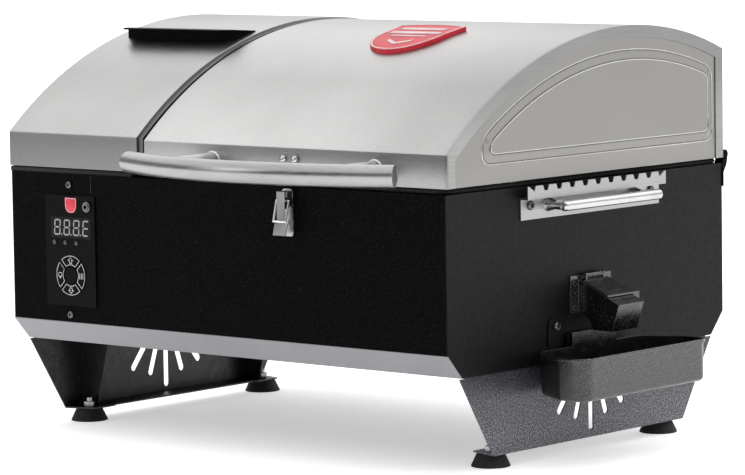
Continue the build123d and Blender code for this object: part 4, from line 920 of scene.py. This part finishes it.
def pressed_line(inset, x, radius):
    """One crease of the pressed panel, as a fine closed wire."""
    def make(bm):
        points = [at(x, p.x, p.y) for p in evenly(pressed_outline(inset), CREASE_STEP)]
        closed_tube(bm, points, radius * MM, 6)
    return make


def hopper_gasket(bm):
    """Foam strip on the pellet bin's rim: along the front and down both sides."""
    x0, x1 = FOAM_X
    front, back = FOAM_Y
    z0, z1 = FOAM_Z
    inside = front + FOAM_WIDTH
    strips = [(x0, x1, front, inside),
              (x0, x0 + FOAM_WIDTH, inside, back),
              (x1 - FOAM_WIDTH, x1, inside, back)]
    for left, right, near, far in strips:
        loops = []
        for inset, share in FOAM_PROFILE:
            z = z0 + (z1 - z0) * share
            corners = ((left + inset, near + inset), (right - inset, near + inset),
                       (right - inset, far - inset), (left + inset, far - inset))
            loops.append([bm.verts.new(at(x, y, z)) for x, y in corners])
        stacked(bm, loops)


def catch_screws(bm):
    """Domed heads that hold the catch to the lid's lip."""
    for x in CATCH_SCREWS_X:
        domed(bm, x, CATCH_FACE_Y, CATCH_SCREWS_Z, SCREW_PROFILE)


def lid_gap_fold(bm, steps=32):
    """Sheet edge folded out from the pellet lid's end, seen in the gap between the lids."""
    y0, y1 = -WALL_Y + FOLD_SUNK, WALL_Y - FOLD_SUNK
    path = [(y0, FOLD_Z)]
    for k in range(steps + 1):
        y = y0 + (y1 - y0) * k / steps
        path.append((y, lid_height(y, LID_RADIUS + HOPPER_RISE - FOLD_SUNK)))
    path.append((y1, FOLD_Z))
    rows = [[bm.verts.new(at(x, y, z)) for x in FOLD_X] for y, z in path]
    for near, far in zip(rows, rows[1:]):
        bm.faces.new((near[0], near[1], far[1], far[0]))
    bmesh.ops.solidify(bm, geom=bm.faces[:], thickness=FOLD_T * MM)


# ---------------------------------------------------------------- rope seal

def seal_path():
    """Centre line of the rope round the cook chamber, in cabinet millimetres."""
    x0, x1, y, r = *SEAL_X, SEAL_Y, SEAL_CORNER
    points = []
    corners = ((x1 - r, y - r, 0), (x0 + r, y - r, 90), (x0 + r, r - y, 180), (x1 - r, r - y, 270))
    for cx, cy, start in corners:
        for k in range(7):
            a = math.radians(start + 15 * k)
            points.append(Vector((cx + r * math.cos(a), cy + r * math.sin(a))))
    return points


def rope_seal(bm):
    """Strands twisted round the seal's centre line, and the pads under the pellet lid."""
    path = evenly(seal_path(), STRAND_STEP)
    count = len(path)
    twists = round(count * STRAND_STEP / STRAND_LAY)
    for strand in range(STRANDS):
        line = []
        for i, point in enumerate(path):
            along = (path[(i + 1) % count] - path[i - 1]).normalized()
            side = Vector((along.y, -along.x))
            turn = 2 * math.pi * (twists * i / count + strand / STRANDS)
            out = point + side * (STRAND_OFFSET * math.cos(turn))
            line.append(at(out.x, out.y, SEAL_Z + STRAND_OFFSET * math.sin(turn)))
        closed_tube(bm, line, STRAND_RADIUS * MM, 7)
    for x in PAD_X:
        for y in (-PAD_Y, PAD_Y):
            turned_shape(bm, lambda u, v, up: at(x + u, y + v, SEAL_Z + up), PAD_PROFILE)


# ---------------------------------------------------------------- all the added pieces

def add_details():
    keys = ((0, "right_key", "bars"), (90, "up_key", "arrow"),
            (180, "left_key", "ring"), (270, "down_key", "arrow"))
    for turn, body, sign in keys:
        piece(body + "_print", key_print(turn, sign), INK, body)
    piece("display_digits", display_digits, SEGMENT, "grill_body")
    piece("panel_emblem", panel_emblem, RED_PRINT, "grill_body")
    piece("panel_emblem_border", panel_emblem_border, INK, "grill_body")
    piece("lamp_lenses", lamp_lenses, LAMP_LENS, "grill_body")
    piece("panel_seam", panel_seam, SEAM, "grill_body")
    piece("badge_border", badge_border, PALE_EDGE, "main_lid")
    piece("badge_motif", badge_motif, PALE_EDGE, "main_lid")
    # bright wires along the creases paint their highlight, darker wires beside them paint their shade
    outer, outer_x = PRESS_IN, WALL_X - SHEET
    inner, inner_x = outer + PRESS_SLOPE, outer_x + PRESS_OUT
    # each crease's inset, its place along X and its radius
    creases = (("end_line_outer", outer, outer_x, 0.45, STEEL_CREASE_HIGHLIGHT),
               ("end_shade_outer", outer + SHADE_OUTER[0], outer_x + SHADE_OUTER[1], 0.45, STEEL_SHADE),
               ("end_line_inner", inner, inner_x, 0.40, STEEL_CREASE_HIGHLIGHT),
               ("end_shade_inner", inner + SHADE_INNER[0], inner_x + SHADE_INNER[1], 0.42, STEEL_SHADE))
    for name, inset, x, radius, material in creases:
        piece(name, pressed_line(inset, x, radius), material, "main_lid")
    piece("hopper_gasket", hopper_gasket, RUBBER, "grill_body")
    piece("lid_gap_fold", lid_gap_fold, STEEL_SHADE, "hopper_lid")
    piece("catch_screws", catch_screws, STEEL_POLISHED, "main_lid")
    rope = piece("rope_seal", rope_seal, ROPE, "grill_body")
    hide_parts("rim_seals")


set_camera()
set_studio()
set_floor()
dress_cad_nodes()
add_details()
